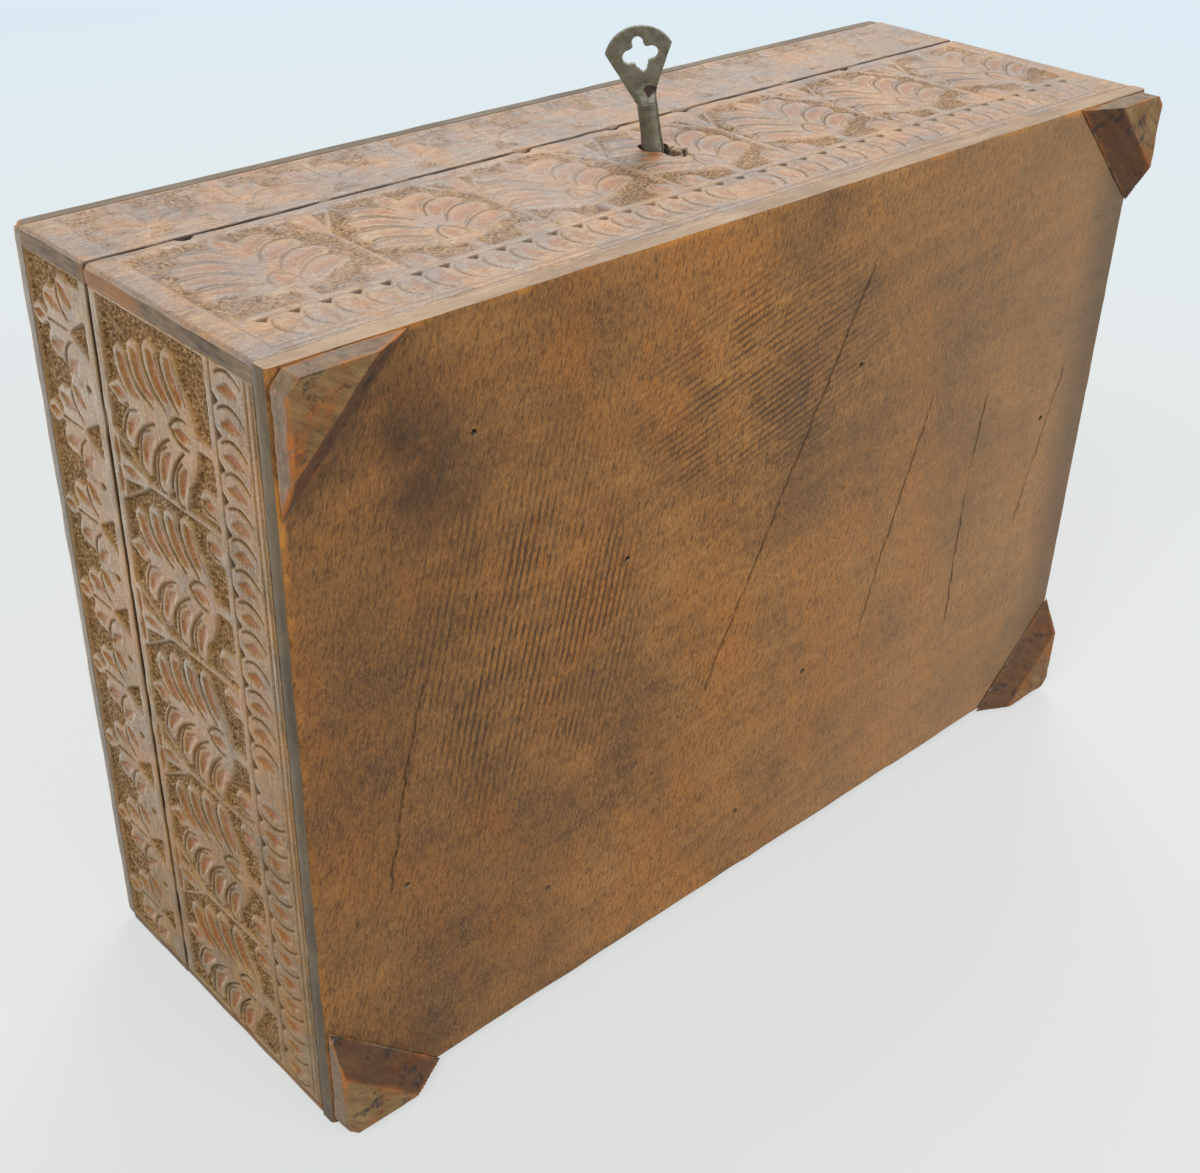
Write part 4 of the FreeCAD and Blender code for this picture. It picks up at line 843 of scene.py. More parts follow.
BOTTOM_HOLES = ((-124, 39), (-79, 67), (19, 42), (-5.6, 81), (30, -52), (-54, -25), (124.5, -6),
                (-101, -75))
WORM_RADIUS = 0.9 * MM
WORM_DEPTH = 5 * MM
CRACKS = [
    ((32.7, -82.7), (6.5, -30.0), (-25.6, 34.0), 0.7),
    ((66.0, -33.0), (54.5, 2.0), (43.0, 41.6), 0.55),
    ((93.0, -27.0), (89.2, 14.0), (89.0, 57.0), 0.45),
    ((-115.6, -19.6), (-124.0, 12.0), (-129.0, 41.6), 0.45),
    ((133.0, -23.0), (126.0, 4.0), (118.0, 30.0), 0.3),
]


def worm_holes(tools, face):
    """Small round holes in the underside."""
    for x, y in BOTTOM_HOLES:
        rod(tools, WORM_RADIUS, WORM_DEPTH, Matrix.Translation((x * MM, -y * MM, 0)), 12)


def crack_mark(x, y, crack, ragged):
    """1 along a crack: the curve through its three points, x as a function of y."""
    (x0, y0), (x1, y1), (x2, y2), half = crack
    bend, slope, base = np.polyfit((y0, y1, y2), (x0, x1, x2), 2)
    line = (y * bend + slope) * y + base
    middle, reach = (y0 + y2) / 2, (y2 - y0) / 2
    taper = 1 - ((y - middle) * (1 / reach)).math("POWER", 2.0).math("MINIMUM", 1.0)
    off = (x - line + ragged).math("ABSOLUTE")
    return (1 - off * (1 / half)).math("MAXIMUM", 0.0) * taper.between(0.0, 0.25)


def saw_lines(finish, turn, apart):
    """Dark lines that run in one direction, a few millimetres apart, broken and uneven."""
    return finish.add("ShaderNodeTexWave", {"wave_type": "BANDS", "bands_direction": "Y"}, {
        "Vector": finish.stretched("x", 1, turn), "Scale": 0.314 / apart, "Distortion": 1.6,
        "Detail": 3.0, "Detail Scale": 0.5, "Detail Roughness": 0.6})


def oval(x, y, middle, half, soft):
    """1 inside an oval place of the underside, falling off towards its edge."""
    return (1 - ((x - middle[0]) * (1 / half[0])).math("POWER", 2.0)
            - ((y - middle[1]) * (1 / half[1])).math("POWER", 2.0)).between(0, soft)


def bottom_finish():
    """Golden-brown planed wood with dark stains, saw marks and cracks, and a painted sheen, paler
    and greyer towards +x.
    """
    finish = Finish("bottom_wood")
    here = finish.here
    in_mm = finish.add("ShaderNodeVectorMath", {"operation": "SCALE"}, {0: here, 3: 1 / MM})
    x = finish.add("ShaderNodeSeparateXYZ", {}, [in_mm])
    y = Signal(finish, x.socket.node.outputs["Y"])
    grain = finish.noise(finish.stretched("x", 6, -0.10), 190, 6, 0.76)
    fibre = finish.noise(finish.stretched("x", 3, 1.78), 2500, 4, 0.7)
    stroke = finish.noise(finish.stretched("x", 4.5, 1.84), 1250, 4, 0.72)
    speck = finish.noise(here, 1500, 3, 0.7)
    stain = finish.noise(here, 18, 7, 0.7)
    blotch = finish.noise(here, 9, 6, 0.68)
    faint = finish.noise(here, 70, 4, 0.7)
    glow = finish.noise(finish.stretched("x", 2, 1.2), 48, 6, 0.74).between(0.48, 0.64)
    saw = (saw_lines(finish, 1.80, 2.1 * MM).between(0.55, 0.9)
           * oval(x, y, (-84, -16), (44, 62), 0.7)
           + saw_lines(finish, -0.24, 2.0 * MM).between(0.6, 0.95)
           * oval(x, y, (-8, -60), (52, 34), 0.8)) * faint.between(0.38, 0.56)
    dark_corner = oval(x, y, (-128, -74), (42, 26), 0.8) * stain.between(0.38, 0.6)
    ragged = (finish.noise(here, 130, 4, 0.65) - 0.5) * 4.0
    cracks = sum((crack_mark(x, y, crack, ragged) for crack in CRACKS[1:]),
                 crack_mark(x, y, CRACKS[0], ragged)).math("MINIMUM", 1.0)
    cracks = cracks * faint.between(0.3, 0.48)
    wood = finish.paint(
        rgb(182, 128, 70),
        ((grain * 1.1 + stain * 1.2 - 0.8).between(0, 0.75), rgb(108, 74, 42)),
        (glow * 0.5, rgb(184, 114, 48)),
        (blotch.between(0.48, 0.68) * 0.32, rgb(72, 56, 42)),
        (stain.between(0.56, 0.70) * blotch * 0.6, rgb(66, 62, 58)),
        (stroke.between(0.48, 0.62) * 0.62, rgb(56, 38, 22)),
        (fibre.between(0.52, 0.66) * 0.5, rgb(200, 148, 80)),
        ((1 - fibre).between(0.54, 0.66) * 0.6, rgb(46, 32, 20)),
        (saw * 0.7, rgb(40, 30, 22)),
        (speck.between(0.60, 0.72) * 0.35, rgb(210, 160, 96)),
        ((1 - speck).between(0.60, 0.72) * 0.4, rgb(48, 34, 24)),
        # painted sheen: paler and greyer towards +x
        ((x + stain * 30).between(0, 150) * 0.36, rgb(166, 142, 112)),
        # darker towards -x, and a dark grey band at the +x end
        ((stain * 20 - x).between(30, 140) * 0.3, rgb(70, 50, 36)),
        ((x - stain * 16).between(122, 136) * 0.55, rgb(88, 78, 66)),
        (dark_corner * 0.8, rgb(52, 42, 34)),
        (cracks.between(0.1, 0.9) * 0.6, rgb(44, 28, 16)),
        (finish.mark("gouge") * faint.between(0.42, 0.6) * 0.8, rgb(204, 136, 58)))
    height = (fibre * 0.6 + grain * 0.4 - stroke * 0.4 + speck * 0.3 - saw * 0.7) - cracks * 2.0
    return finish.done(wood, 0.45 + stain * 0.2 + (fibre - 0.5) * 0.25, height, (0.8, 0.0005), 0.2)


under_face = Face("bottom_board", "-z")
under = under_face.carving(seed=53)
under.height -= 0.15 * (1 + under.drift(46, 30)) + 0.05 * (1 + under.drift(7, 3))
for (x0, y0), (x1, y1), (x2, y2), half in CRACKS:
    under.slit(bow((x0, -y0), (x1, -y1), (x2, -y2)), [0.3, 0.9, 0.3], 0.25)
under.round_rim(0.8, 0.8, 0.8, dents=0.3)
edge_distance = np.minimum(under.to_edge_u, np.minimum(under.v - under.low,
                                                       under.v.max() - under.v))
facing_front = ease((under.v - under.v.mean()) / 60)
under.gouge = (ease(1.3 - edge_distance / 1.5) * ease(0.5 + under.drift(12))
               * (0.35 + 0.65 * facing_front))
bottom_board = carved_board("bottom_plank", under_face, under, 0.85, [worm_holes])
grey_edge = planed_wood("grey_edge", "y", rgb(132, 116, 92), rgb(70, 60, 48), draw=5)
# The long edges get a pale tan, paler than the underside: a painted highlight.
tan_edge = planed_wood("tan_edge", "x", rgb(188, 162, 134), rgb(124, 98, 74), draw=7)
fit(bottom_board, "bottom_board", "box", "plain_wood", bottom_finish(), grey_edge, tan_edge,
    inside_wood)


# Feet
# Four three-cornered brackets of hardwood, nailed under the corners. They taper down, and their
# lower arrises are rubbed and stained nearly black in spots.

def soften(piece, grain):
    """Rounds off a piece's arrises, to about one grain, on a mesh of even squares."""
    remesh = piece.modifiers.new("soften", "REMESH")
    remesh.mode, remesh.voxel_size, remesh.use_smooth_shade = "VOXEL", grain, True
    settle(piece)


def batter(piece, depth, pitch, node, seed, spare=0.0):
    """Presses uneven dents into a piece, and keeps it inside its node's box, but for what it may
    spare to the sides and up."""
    low, high = (np.array(corner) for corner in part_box(node))
    aside = np.array((spare, 0, spare))
    points = rows_of(piece.data.vertices, "co")
    shift = Vector((seed * 3.7, seed * 1.9, 0))
    dents = np.array([noise.noise(Vector(point) / pitch + shift) for point in points])
    dents = depth * np.clip(dents + 0.3, 0, 1)
    points -= rows_of(piece.data.vertices, "normal") * dents[:, None]
    piece.data.vertices.foreach_set("co", np.clip(points, low - aside, high + aside).ravel())
    piece.data.update()


def mark_arrises(piece, rounds=3):
    """Stores at each vertex how sharply the surface turns outwards there, for wear."""
    points = rows_of(piece.data.vertices, "co")
    edges = np.empty(len(piece.data.edges) * 2, np.int32)
    piece.data.edges.foreach_get("vertices", edges)
    edges = edges.reshape(-1, 2)
    near = np.zeros(len(points))
    np.add.at(near, edges.ravel(), 1)

    def spread(values):
        total = np.zeros_like(values)
        np.add.at(total, edges[:, 0], values[edges[:, 1]])
        np.add.at(total, edges[:, 1], values[edges[:, 0]])
        return (total.T / np.maximum(near, 1)).T

    size = np.linalg.norm(points[edges[:, 0]] - points[edges[:, 1]], axis=1).mean()
    outward = ((points - spread(points)) * rows_of(piece.data.vertices, "normal")).sum(axis=1)
    turn = np.clip(outward / size * 8, 0, 1)
    for _ in range(rounds):
        turn = np.maximum(turn, spread(turn))
    store(piece, "arris", turn)


def foot_wood():
    """Brown wood: tan and rubbed on the outer sides, painted dark as shade on the inner slopes,
    golden below with black spots, and orange on the worn arrises."""
    finish = Finish("foot_wood")
    grain = finish.noise(finish.stretched("x", 6, 0.6), 450, 5, 0.7)
    stain = finish.noise(finish.here, 70, 5, 0.68)
    spots = finish.noise(finish.here, 210, 4, 0.65)
    speck = finish.noise(finish.here, 1500, 2, 0.7)
    under, arris, slope = finish.mark("under"), finish.mark("arris"), finish.mark("slope")
    below = finish.paint(rgb(152, 122, 78),
                         ((grain + stain - 0.7).between(0, 0.5), rgb(98, 70, 40)))
    wood = finish.paint(
        rgb(148, 126, 100),
        ((grain + stain - 0.6).between(0, 0.7), rgb(92, 74, 54)),
        (under, below),
        (stain.between(0.54, 0.68) * under * 0.6, rgb(176, 100, 40)),
        # painted shade on the inward-facing slopes
        (slope * (0.6 + grain * 0.5).math("MINIMUM", 1.0), rgb(80, 50, 30)),
        (spots.between(0.56, 0.64) * (under * 0.5 + 0.4), rgb(34, 27, 23)),
        (arris * stain.between(0.42, 0.55) * 0.7, rgb(190, 112, 46)),
        (arris * spots.between(0.6, 0.7) * 0.7, rgb(214, 196, 178)),
        (speck.between(0.58, 0.7) * 0.45, rgb(48, 34, 24)))
    return finish.done(wood, 0.48 + stain * 0.25, grain + spots * 0.5 + speck * 0.3,
                       (0.8, 0.0004), 0.25)


def bridge(mesh, rings):
    """Makes one closed skin over a row of rings."""
    for pair in zip(rings, rings[1:]):
        edges = {edge for ring in pair for vert in ring for edge in vert.link_edges
                 if edge.verts[0] in ring and edge.verts[1] in ring}
        bmesh.ops.bridge_loops(mesh, edges=list(edges))
    bmesh.ops.holes_fill(mesh, edges=mesh.edges)
    bmesh.ops.recalc_face_normals(mesh, faces=mesh.faces)


FOOT_LEG_BELOW = 22.0 * MM
FOOT_CORNER = 3.2 * MM
FOOT_GRAIN = 0.55 * MM
foot_finish = foot_wood()
for seed, (name, across, along) in enumerate((
        ("foot_front_left", -1, -1), ("foot_front_right", 1, -1),
        ("foot_back_right", 1, 1), ("foot_back_left", -1, 1))):
    low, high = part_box(name)
    corner = Vector((low.x if across < 0 else high.x, low.y if along < 0 else high.y))
    mesh = bmesh.new()
    rings = []
    for level, leg in ((low.z, FOOT_LEG_BELOW), (high.z, high.x - low.x)):
        ring = [mesh.verts.new((corner.x - across * x, corner.y - along * y, level))
                for x, y in ((FOOT_CORNER, 0), (leg, 0), (0, leg), (0, FOOT_CORNER))]
        for start, end in zip(ring, ring[1:] + ring[:1]):
            mesh.edges.new((start, end))
        rings.append(ring)
    bridge(mesh, rings)
    foot = as_object(name + "_block", mesh)
    soften(foot, FOOT_GRAIN)
    for depth, pitch, draw in ((0.35 * MM, 9 * MM, seed), (0.12 * MM, 2.2 * MM, seed + 7)):
        batter(foot, depth, pitch, name, draw)
    mark_arrises(foot)
    normals = rows_of(foot.data.vertices, "normal")
    store(foot, "under", np.clip(-2 * normals[:, 2], 0, 1))
    # slope: the inward-facing sides, painted dark as shade
    inward = normals[:, :2] @ (-across / np.sqrt(2), -along / np.sqrt(2))
    store(foot, "slope", np.clip(4 * inward - 0.6, 0, 1))
    fit(foot, name, "box", "plain_wood", foot_finish)


# Lid rails
# Four boards make the deep sides of the lid. A frieze of small palmettes is carved on them, with
# a punched ground above and between, and a dot in the strip below each gap.

def bud(carving):
    """One small palmette of the frieze, over its three-cornered valley."""
    for side in (-1, 1):
        def pair(*points):
            return np.array(points) * (side, 1)
        carving.form(pair((2.6, 11.0), (4.8, 15.0), (5.2, 17.0)), [3.0, 4.1, 3.8], -0.03, edge=0.7)
        carving.form(pair((4.4, 7.6), (8.0, 9.4), (9.8, 10.2)), [3.0, 3.9, 3.5], -0.03, edge=0.7)
        carving.scoop(pair((3.9, 12.8), (5.0, 15.8), (5.9, 18.8)), [0.5, 1.9, 0.6], 0.6)
        carving.scoop(pair((6.6, 7.4), (8.6, 9.6), (10.4, 12.0)), [0.5, 1.9, 0.6], 0.6)
        carving.slit(pair((2.4, 9.4), (4.6, 12.2), (7.4, 13.2), (11.6, 13.0)),
                     [0.25, 0.5, 0.45, 0.2], 0.7)
    carving.slit([(0, 10.6), (0, 19.6)], [0.3, 0.4], 0.7)
    carving.form([(0, 20.2), (0, 23.4), (0, 26.6)], [1.6, 3.1, 1.2], -0.03, edge=0.7)
    carving.scoop([(0, 21.0), (0, 23.4), (0, 25.8)], [0.4, 1.3, 0.3], 0.8)


def lid_band(carving, valleys, left, right, low, high):
    """The frieze: the ground is sunk, then the palmettes and the strip below them stand up."""
    carving.sink([(left, low + 1.6), (right, low + 1.6), (right, high), (left, high)])
    inner = [(0, 8.4), (0.9, 7.4), (3.0, 3.8), (5.2, 0)]
    for number, centre in enumerate(valleys):
        before = valleys[number - 1] if number else centre - VALLEY_PITCH
        after = valleys[number + 1] if number + 1 < len(valleys) else centre + VALLEY_PITCH
        back, on = (centre - before) / 2 + 0.1, (after - centre) / 2 + 0.1
        outline = ([(centre + u, low + v) for u, v in inner]
                   + [(centre + on, low), (centre + on, low + 7.8), (centre + 10.6, low + 12.6),
                      (centre + 7.0, low + 17.6), (centre, low + 20.2), (centre - 7.0, low + 17.6),
                      (centre - 10.6, low + 12.6), (centre - back, low + 7.8),
                      (centre - back, low)]
                   + [(centre - u, low + v) for u, v in inner[:0:-1]])
        carving.flat(outline, -0.06, edge=0.4)
    for centre in valleys:
        carving.put(bud, centre, low)
    for first, second in zip(valleys, valleys[1:]):
        carving.hole((first + second) / 2, low + 4.2, 0.95, 1.1)


VALLEY_PITCH = 24.6
LID_STRIP = 2.0
RAIL_CHIPS = ((-28.2, 3.0), (4.0, 2.4), (28.6, 5.0), (-88.0, 1.6), (72.0, 1.8))
RAIL_TOP_MARGIN = 0.5
FRONT_VALLEYS = (-127.5, -102.8, -78.7, -54.2, -28.5, -2.2, 22.0, 44.75, 68.0, 91.5, 114.2, 136.5)
BACK_VALLEYS = [place * VALLEY_PITCH for place in range(-5, 6)]
SIDE_VALLEYS = (-88.2, -62.6, -36.8, -12.7, 10.4, 34.7, 59.9, 84.4)
for node, outward, valleys, margin, lap, wear, wood, seed in (
        ("lid_front_rail", "-y", FRONT_VALLEYS, 7.2, FRONT_LAP, (0.86, 0.12, 16), front_wood, 61),
        ("lid_back_rail", "+y", BACK_VALLEYS, 7.2, BACK_LAP, (0.2, 0.25), back_wood, 67),
        ("lid_left_rail", "-x", SIDE_VALLEYS, 0.6, 0, (0.22, 0.2, 4), side_wood, 71),
        ("lid_right_rail", "+x", [-u for u in SIDE_VALLEYS[::-1]], 0.6, 0, (0.22, 0.2, 4), side_wood,
         73)):
    face = Face(node, outward)
    rail = face.carving(seed)
    left, right = face.left / MM + margin, face.right / MM - margin
    low = face.low / MM
    lid_band(rail, valleys, left, right, low + LID_STRIP, face.high / MM - RAIL_TOP_MARGIN)
    rail.punch()
    rail.rub(*wear)
    if node == "lid_front_rail":
        for place, size in RAIL_CHIPS:
            rail.slit([(place - size, low - 1), (place, low), (place + size, low - 1)],
                      [0.6, 2.0, 0.6], 4.5)
    rail.seam((low,))
    rail.round_rim(1.0 if lap else 0.3, 0.6, 0.2)
    cuts = [end_laps(lap)] if lap else []
    if node == "lid_back_rail":
        cuts += [hinge_seats, hinge_beds]
    board = carved_board(node.replace("lid_", "carved_"), face, rail, 0.42, cuts)
    inner = inside_wood if lap else side_inside_wood
    fit(board, node, "lid", "carved_wood", wood, ends_of_boards, inner, inner)


# Lid top
# One board, nailed down on the rails. Its edge is rounded and bare, and on its face two rows of
# palmettes meet at a band in the middle, inside the same border as the walls have.

TOP_PANEL_TALL = 58.8
TOP_SIZE = TOP_PANEL_TALL / (PANEL_HIGH - PANEL_LOW)
TOP_LEAVES, TOP_STEMS = (-62.1, -20.7, 20.7, 62.1), (-41.4, 0.0, 41.4)
TOP_BORDER = 36.0
TOP_CORNER = 2.5 * MM
top_face = Face("lid_top", "+z")
top = top_face.carving(seed=83)
half_long = (top_face.right / MM - TOP_BORDER) / TOP_SIZE
half_wide = (top_face.high / MM - TOP_BORDER) / TOP_SIZE
drop = (half_wide + PANEL_LOW) * TOP_SIZE
reach = (half_long + PANEL_LOW) * TOP_SIZE
for quarter, shift in ((0, (0, -drop)), (2, (0, drop))):
    top.work_at(shift, quarter, TOP_SIZE)
    carve_panel(top, TOP_LEAVES, TOP_STEMS, -half_long, half_long)
top.work_at()
top.punch(1.5, 0.8, 0.5)
top.rub(0.3, 0.25)
for quarter, shift, half in ((0, (0, -drop), half_long), (2, (0, drop), half_long),
                             (1, (reach, 0), half_wide), (3, (-reach, 0), half_wide)):
    top.work_at(shift, quarter, TOP_SIZE)
    petal_border(top, -half, half, mitred=True)
top.work_at()
for place in range(-13, 14):
    u = place * 8.4
    for side in (-1, 1):
        top.scoop([(u - 2.4, side * 1.0), (u, side * 3.4), (u + 1.6, side * 6.2)],
                  [0.5, 1.5, 0.5], 0.6)
    top.slit([(u - 4.2, -4.0), (u - 2.6, 0), (u - 4.2, 4.0)], [0.3, 0.7, 0.3], 0.7)
for level in (-7.9, 7.9):
    top.slit([(-half_long * TOP_SIZE, level), (half_long * TOP_SIZE, level)], [0.45], 0.4)
top.round_rim(4.0, 4.0, 4.0, dents=0.07)
lid_top = carved_board("lid_top_board", top_face, top, 0.82, corner=TOP_CORNER)
top_wood = carved_wood("top_wood", "x", rgb(170, 134, 90), rgb(114, 82, 48),
                       rgb(178, 120, 62), rgb(146, 136, 120), 0.45, shine=0.3)
top_edge = planed_wood("top_edge", "x", rgb(140, 126, 106), rgb(84, 72, 58), draw=6)
fit(lid_top, "lid_top", "lid", "plain_wood", top_wood, top_edge, top_edge, inside_wood)


# Brads
# Small round iron nails hold all the boards. Their heads lie just below the wood and have rusted.

def old_metal(name, bright, dull, rust, rusted, roughness=0.42):
    """Old metal: dull skin, brighter where it is rubbed, and rust in patches."""
    finish = Finish(name)
    skin = finish.noise(finish.here, 520, 4, 0.65)
    patch = finish.noise(finish.here, 150, 4, 0.62)
    grain = finish.noise(finish.here, 3200, 2, 0.6)
    arris, marked = finish.mark("arris"), finish.mark("rusted")
    rust_here = ((patch - 0.5 + rusted).between(0, 0.12) * 0.75 + marked).math("MINIMUM", 1.0)
    colour = finish.paint(dull,
                          ((skin + grain * 0.5 - 0.45).between(0, 0.55), bright),
                          (arris * 0.8, bright),
                          (rust_here, rust))
    return finish.done(colour, roughness + skin * 0.2 + rust_here * 0.25 - arris * 0.12,
                       skin + grain * 0.4 + rust_here * 0.6, (0.6, 0.0002),
                       metallic=0.85 - rust_here * 0.75)


def dress(node, finish):
    """Gives a node that keeps its own shape its finish."""
    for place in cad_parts[node].material_slots:
        place.material = finish


brad_iron = old_metal("brad_iron", rgb(120, 112, 104), rgb(70, 62, 56), rgb(66, 40, 26), 0.05, 0.5)
for node in ("wall_brads", "bottom_brads", "foot_brads", "lid_rail_brads", "lid_top_brads"):
    dress(node, brad_iron)


# Hinges
# Two butt hinges of cast brass, let into the back wall and the back rail. Leaves, pins and screws
# have all tarnished brown, and only their arrises are rubbed bright.

def age(piece, node, grain, dent, pitch, seed, spare=0.0):
    """Softens, batters and marks a piece of metal."""
    soften(piece, grain)
    batter(piece, dent, pitch, node, seed, spare)
    mark_arrises(piece, 1)


def softened_copy(node, name, grain):
    """A copy of a node's shape with softened arrises and small dents."""
    mesh = bmesh.new()
    mesh.from_mesh(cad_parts[node].data)
    bmesh.ops.remove_doubles(mesh, verts=mesh.verts, dist=0.005 * MM)
    piece = as_object(name, mesh)
    age(piece, node, grain, 0.06 * MM, 3 * MM, len(name))
    return piece


hinge_brass = old_metal("hinge_brass", rgb(206, 168, 92), rgb(126, 98, 56), rgb(74, 52, 34), -0.04)
for side in ("left", "right"):
    for leaf, body in (("lower", "box"), ("upper", "lid")):
        node = f"hinge_{side}_{leaf}_leaf"
        fit(softened_copy(node, f"{side}_{leaf}_leaf", 0.25 * MM), node, body, "hinge_brass",
            hinge_brass)
    node = f"hinge_{side}_pin"
    low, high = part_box(node)
    mesh = bmesh.new()
    rod(mesh, (high.y - low.y) / 2, high.x - low.x, lying_along_x((low + high) / 2), 40)
    rims = [edge for edge in mesh.edges if abs(edge.verts[0].co.x - edge.verts[1].co.x) < 1e-7]
    bmesh.ops.bevel(mesh, geom=rims, offset=0.4 * MM, offset_type="OFFSET", segments=4,
                    profile=0.5, affect="EDGES", material=-1)
    pin = as_object(f"{side}_hinge_pin", mesh)
    pin.data.shade_smooth()
    mark_arrises(pin, 1)
    fit(pin, node, "box", "hinge_brass", hinge_brass)
dress("hinge_lower_screws", hinge_brass)
dress("hinge_upper_screws", hinge_brass)


# Lock
# A till lock of sheet iron on the inside of the front wall: plate, case, a flat bolt on three guide
# pins under a leaf spring, and a drill pin for the hollow key. All of it was filed by hand.

lock_iron = old_metal("lock_iron", rgb(140, 134, 126), rgb(84, 78, 72), rgb(92, 56, 34), -0.02)
for node, grain, body in (("lock_plate", 0.45, "box"), ("lock_case", 0.42, "box"),
                          ("lock_bolt", 0.25, "bolt")):
    fit(softened_copy(node, node.replace("lock", "iron"), grain * MM), node, body, "lock_iron",
        lock_iron)
for node in ("lock_guide_pins", "lock_spring", "lock_drill_pin", "lock_screws"):
    dress(node, lock_iron)


# Striker
# A small iron plate on the inside of the lid, with an eye that drops into the lock for the bolt.

fit(softened_copy("striker", "iron_striker", 0.28 * MM), "striker", "lid", "lock_iron",
    lock_iron)
dress("striker_screws", lock_iron)


# Key
# Cut from one thin sheet of iron: a fan with a four-lobed hole is left flat for the bow, and the
# rest is rolled round a rod to make the hollow shank, whose seam still shows. The bit is brazed on.

key_origin = Vector((0, key_low.y, key_axis_z))
COS_TURN, SIN_TURN = 0.760, 0.649
key_place = Matrix.Translation(key_origin) @ Matrix((
    (COS_TURN, -SIN_TURN, 0, 0), (0, 0, 1, 0), (-SIN_TURN, -COS_TURN, 0, 0), (0, 0, 0, 1)))
BOW_LEAN = np.radians(11)
BOW_SHIFT = Vector((-2.3, 0, -0.47)) * MM
SHANK_LEAN = 0.17
KEY_GRAIN = 0.17 * MM
KEY_DENTS = 2.6 * MM
KEY_SPARE = 3 * MM
bow_place = key_place @ Matrix.Translation(BOW_SHIFT) @ Matrix.Rotation(BOW_LEAN, 4, "Y")
SHEET = 1.2 * MM
FAN_LEFT = [(-2.9, -0.4), (-3.3, 0.8)]
FAN_RIGHT = [(2.5, 1.6), (2.3, -0.4)]
CROWN_RADIUS = 9.39
CROWN_CENTRE = 9.01
LOBES = ((-2.7, 11.2, 1.65, 0.95), (3.0, 11.5, 1.6, 1.1), (-1.9, 11.3, 1.7, 1.0),
         (2.1, 11.4, 1.7, 1.0), (0.0, 14.4, 1.45, 0.95), (0.1, 13.2, 1.6, 0.95),
         (0.3, 9.4, 1.6, 1.0), (0.5, 8.3, 1.15, 0.85))
NECK_RINGS = ((4.4, 3.9, 0.55), (2.8, 3.3, 0.75), (1.4, 2.9, 1.15), (0.2, 2.7, 1.7),
              (-1.0, 2.6, 2.1), (-2.4, 2.5, 2.2))


def lobe_cutter(x, up, radius, stretch):
    """A round rod across the sheet, drawn out to the sides."""
    mesh = bmesh.new()
    rod(mesh, radius * MM, 4 * SHEET, Matrix.Translation((x * MM, 0, -up * MM))
        @ Matrix.Diagonal((stretch, 1, 1, 1)) @ Matrix.Rotation(np.pi / 2, 4, "X"), 28)
    return mesh


def key_bow():
    """The fan, with the flattened neck that goes down into the rolled shank."""
    mesh = bmesh.new()
    crown = [(CROWN_RADIUS * np.cos(a), CROWN_CENTRE + CROWN_RADIUS * np.sin(a))
             for a in np.radians(np.linspace(154.9, 25.1, 25))]
    face = mesh.faces.new([mesh.verts.new((x * MM, -SHEET / 2, -up * MM))
                           for x, up in FAN_LEFT + crown + FAN_RIGHT])
    edge = bmesh.ops.extrude_face_region(mesh, geom=[face])["geom"]
    bmesh.ops.translate(mesh, vec=(0, SHEET, 0), verts=points_in(edge))
    bmesh.ops.recalc_face_normals(mesh, faces=mesh.faces)
    piece = as_object("bow_fan", mesh)
    for lobe in LOBES:
        combine(piece, lobe_cutter(*lobe))
    core = bmesh.new()
    solid_box(core, (-1.8 * MM, -SHEET, -13.3 * MM), (1.9 * MM, SHEET, -9.5 * MM))
    combine(piece, core)
    neck = bmesh.new()
    rings = []
    for up, wide, deep in NECK_RINGS:
        ring = bmesh.ops.create_circle(neck, segments=32, radius=1)["verts"]
        bmesh.ops.scale(neck, vec=(wide * MM, deep * MM, 1), verts=ring)
        bmesh.ops.translate(neck, vec=(0, 0, -up * MM), verts=ring)
        rings.append(ring)
    bridge(neck, rings)
    combine(piece, neck, "UNION")
    return piece


bow_piece = key_bow()
bow_piece.data.transform(bow_place)
age(bow_piece, "key_bow", KEY_GRAIN, 0.09 * MM, KEY_DENTS, 5, KEY_SPARE)
local = np.c_[rows_of(bow_piece.data.vertices, "co"), np.ones(len(bow_piece.data.vertices))]
local = local @ np.array(bow_place.inverted()).T / MM
wear = np.empty(len(local))
bow_piece.data.attributes["arris"].data.foreach_get("value", wear)
# Bright round the lower lobes on one face: partly rubbed wear and partly a painted highlight, added
# to the arrises' wear.
rubbed = np.clip(1.5 - np.hypot(local[:, 0] / 4.2, (-local[:, 2] - 8.6) / 1.9), 0, 1)
rubbed *= local[:, 1] > 0
bow_piece.data.attributes["arris"].data.foreach_set("value", np.clip(wear + rubbed, 0, 1))
ragged = np.array([noise.noise(Vector(point[:3]) * 0.9) for point in local])
patch = np.clip(3.0 - np.hypot((local[:, 0] - 1.2) / 0.62, (-local[:, 2] - 2.4) / 0.55)
                + 1.6 * ragged, 0, 1)
patch *= local[:, 1] > 0
store(bow_piece, "rusted", patch)
key_iron = old_metal("key_iron", rgb(134, 130, 114), rgb(80, 76, 58), rgb(48, 28, 20), -0.12, 0.45)
fit(bow_piece, "key_bow", "key", "key_steel", key_iron)

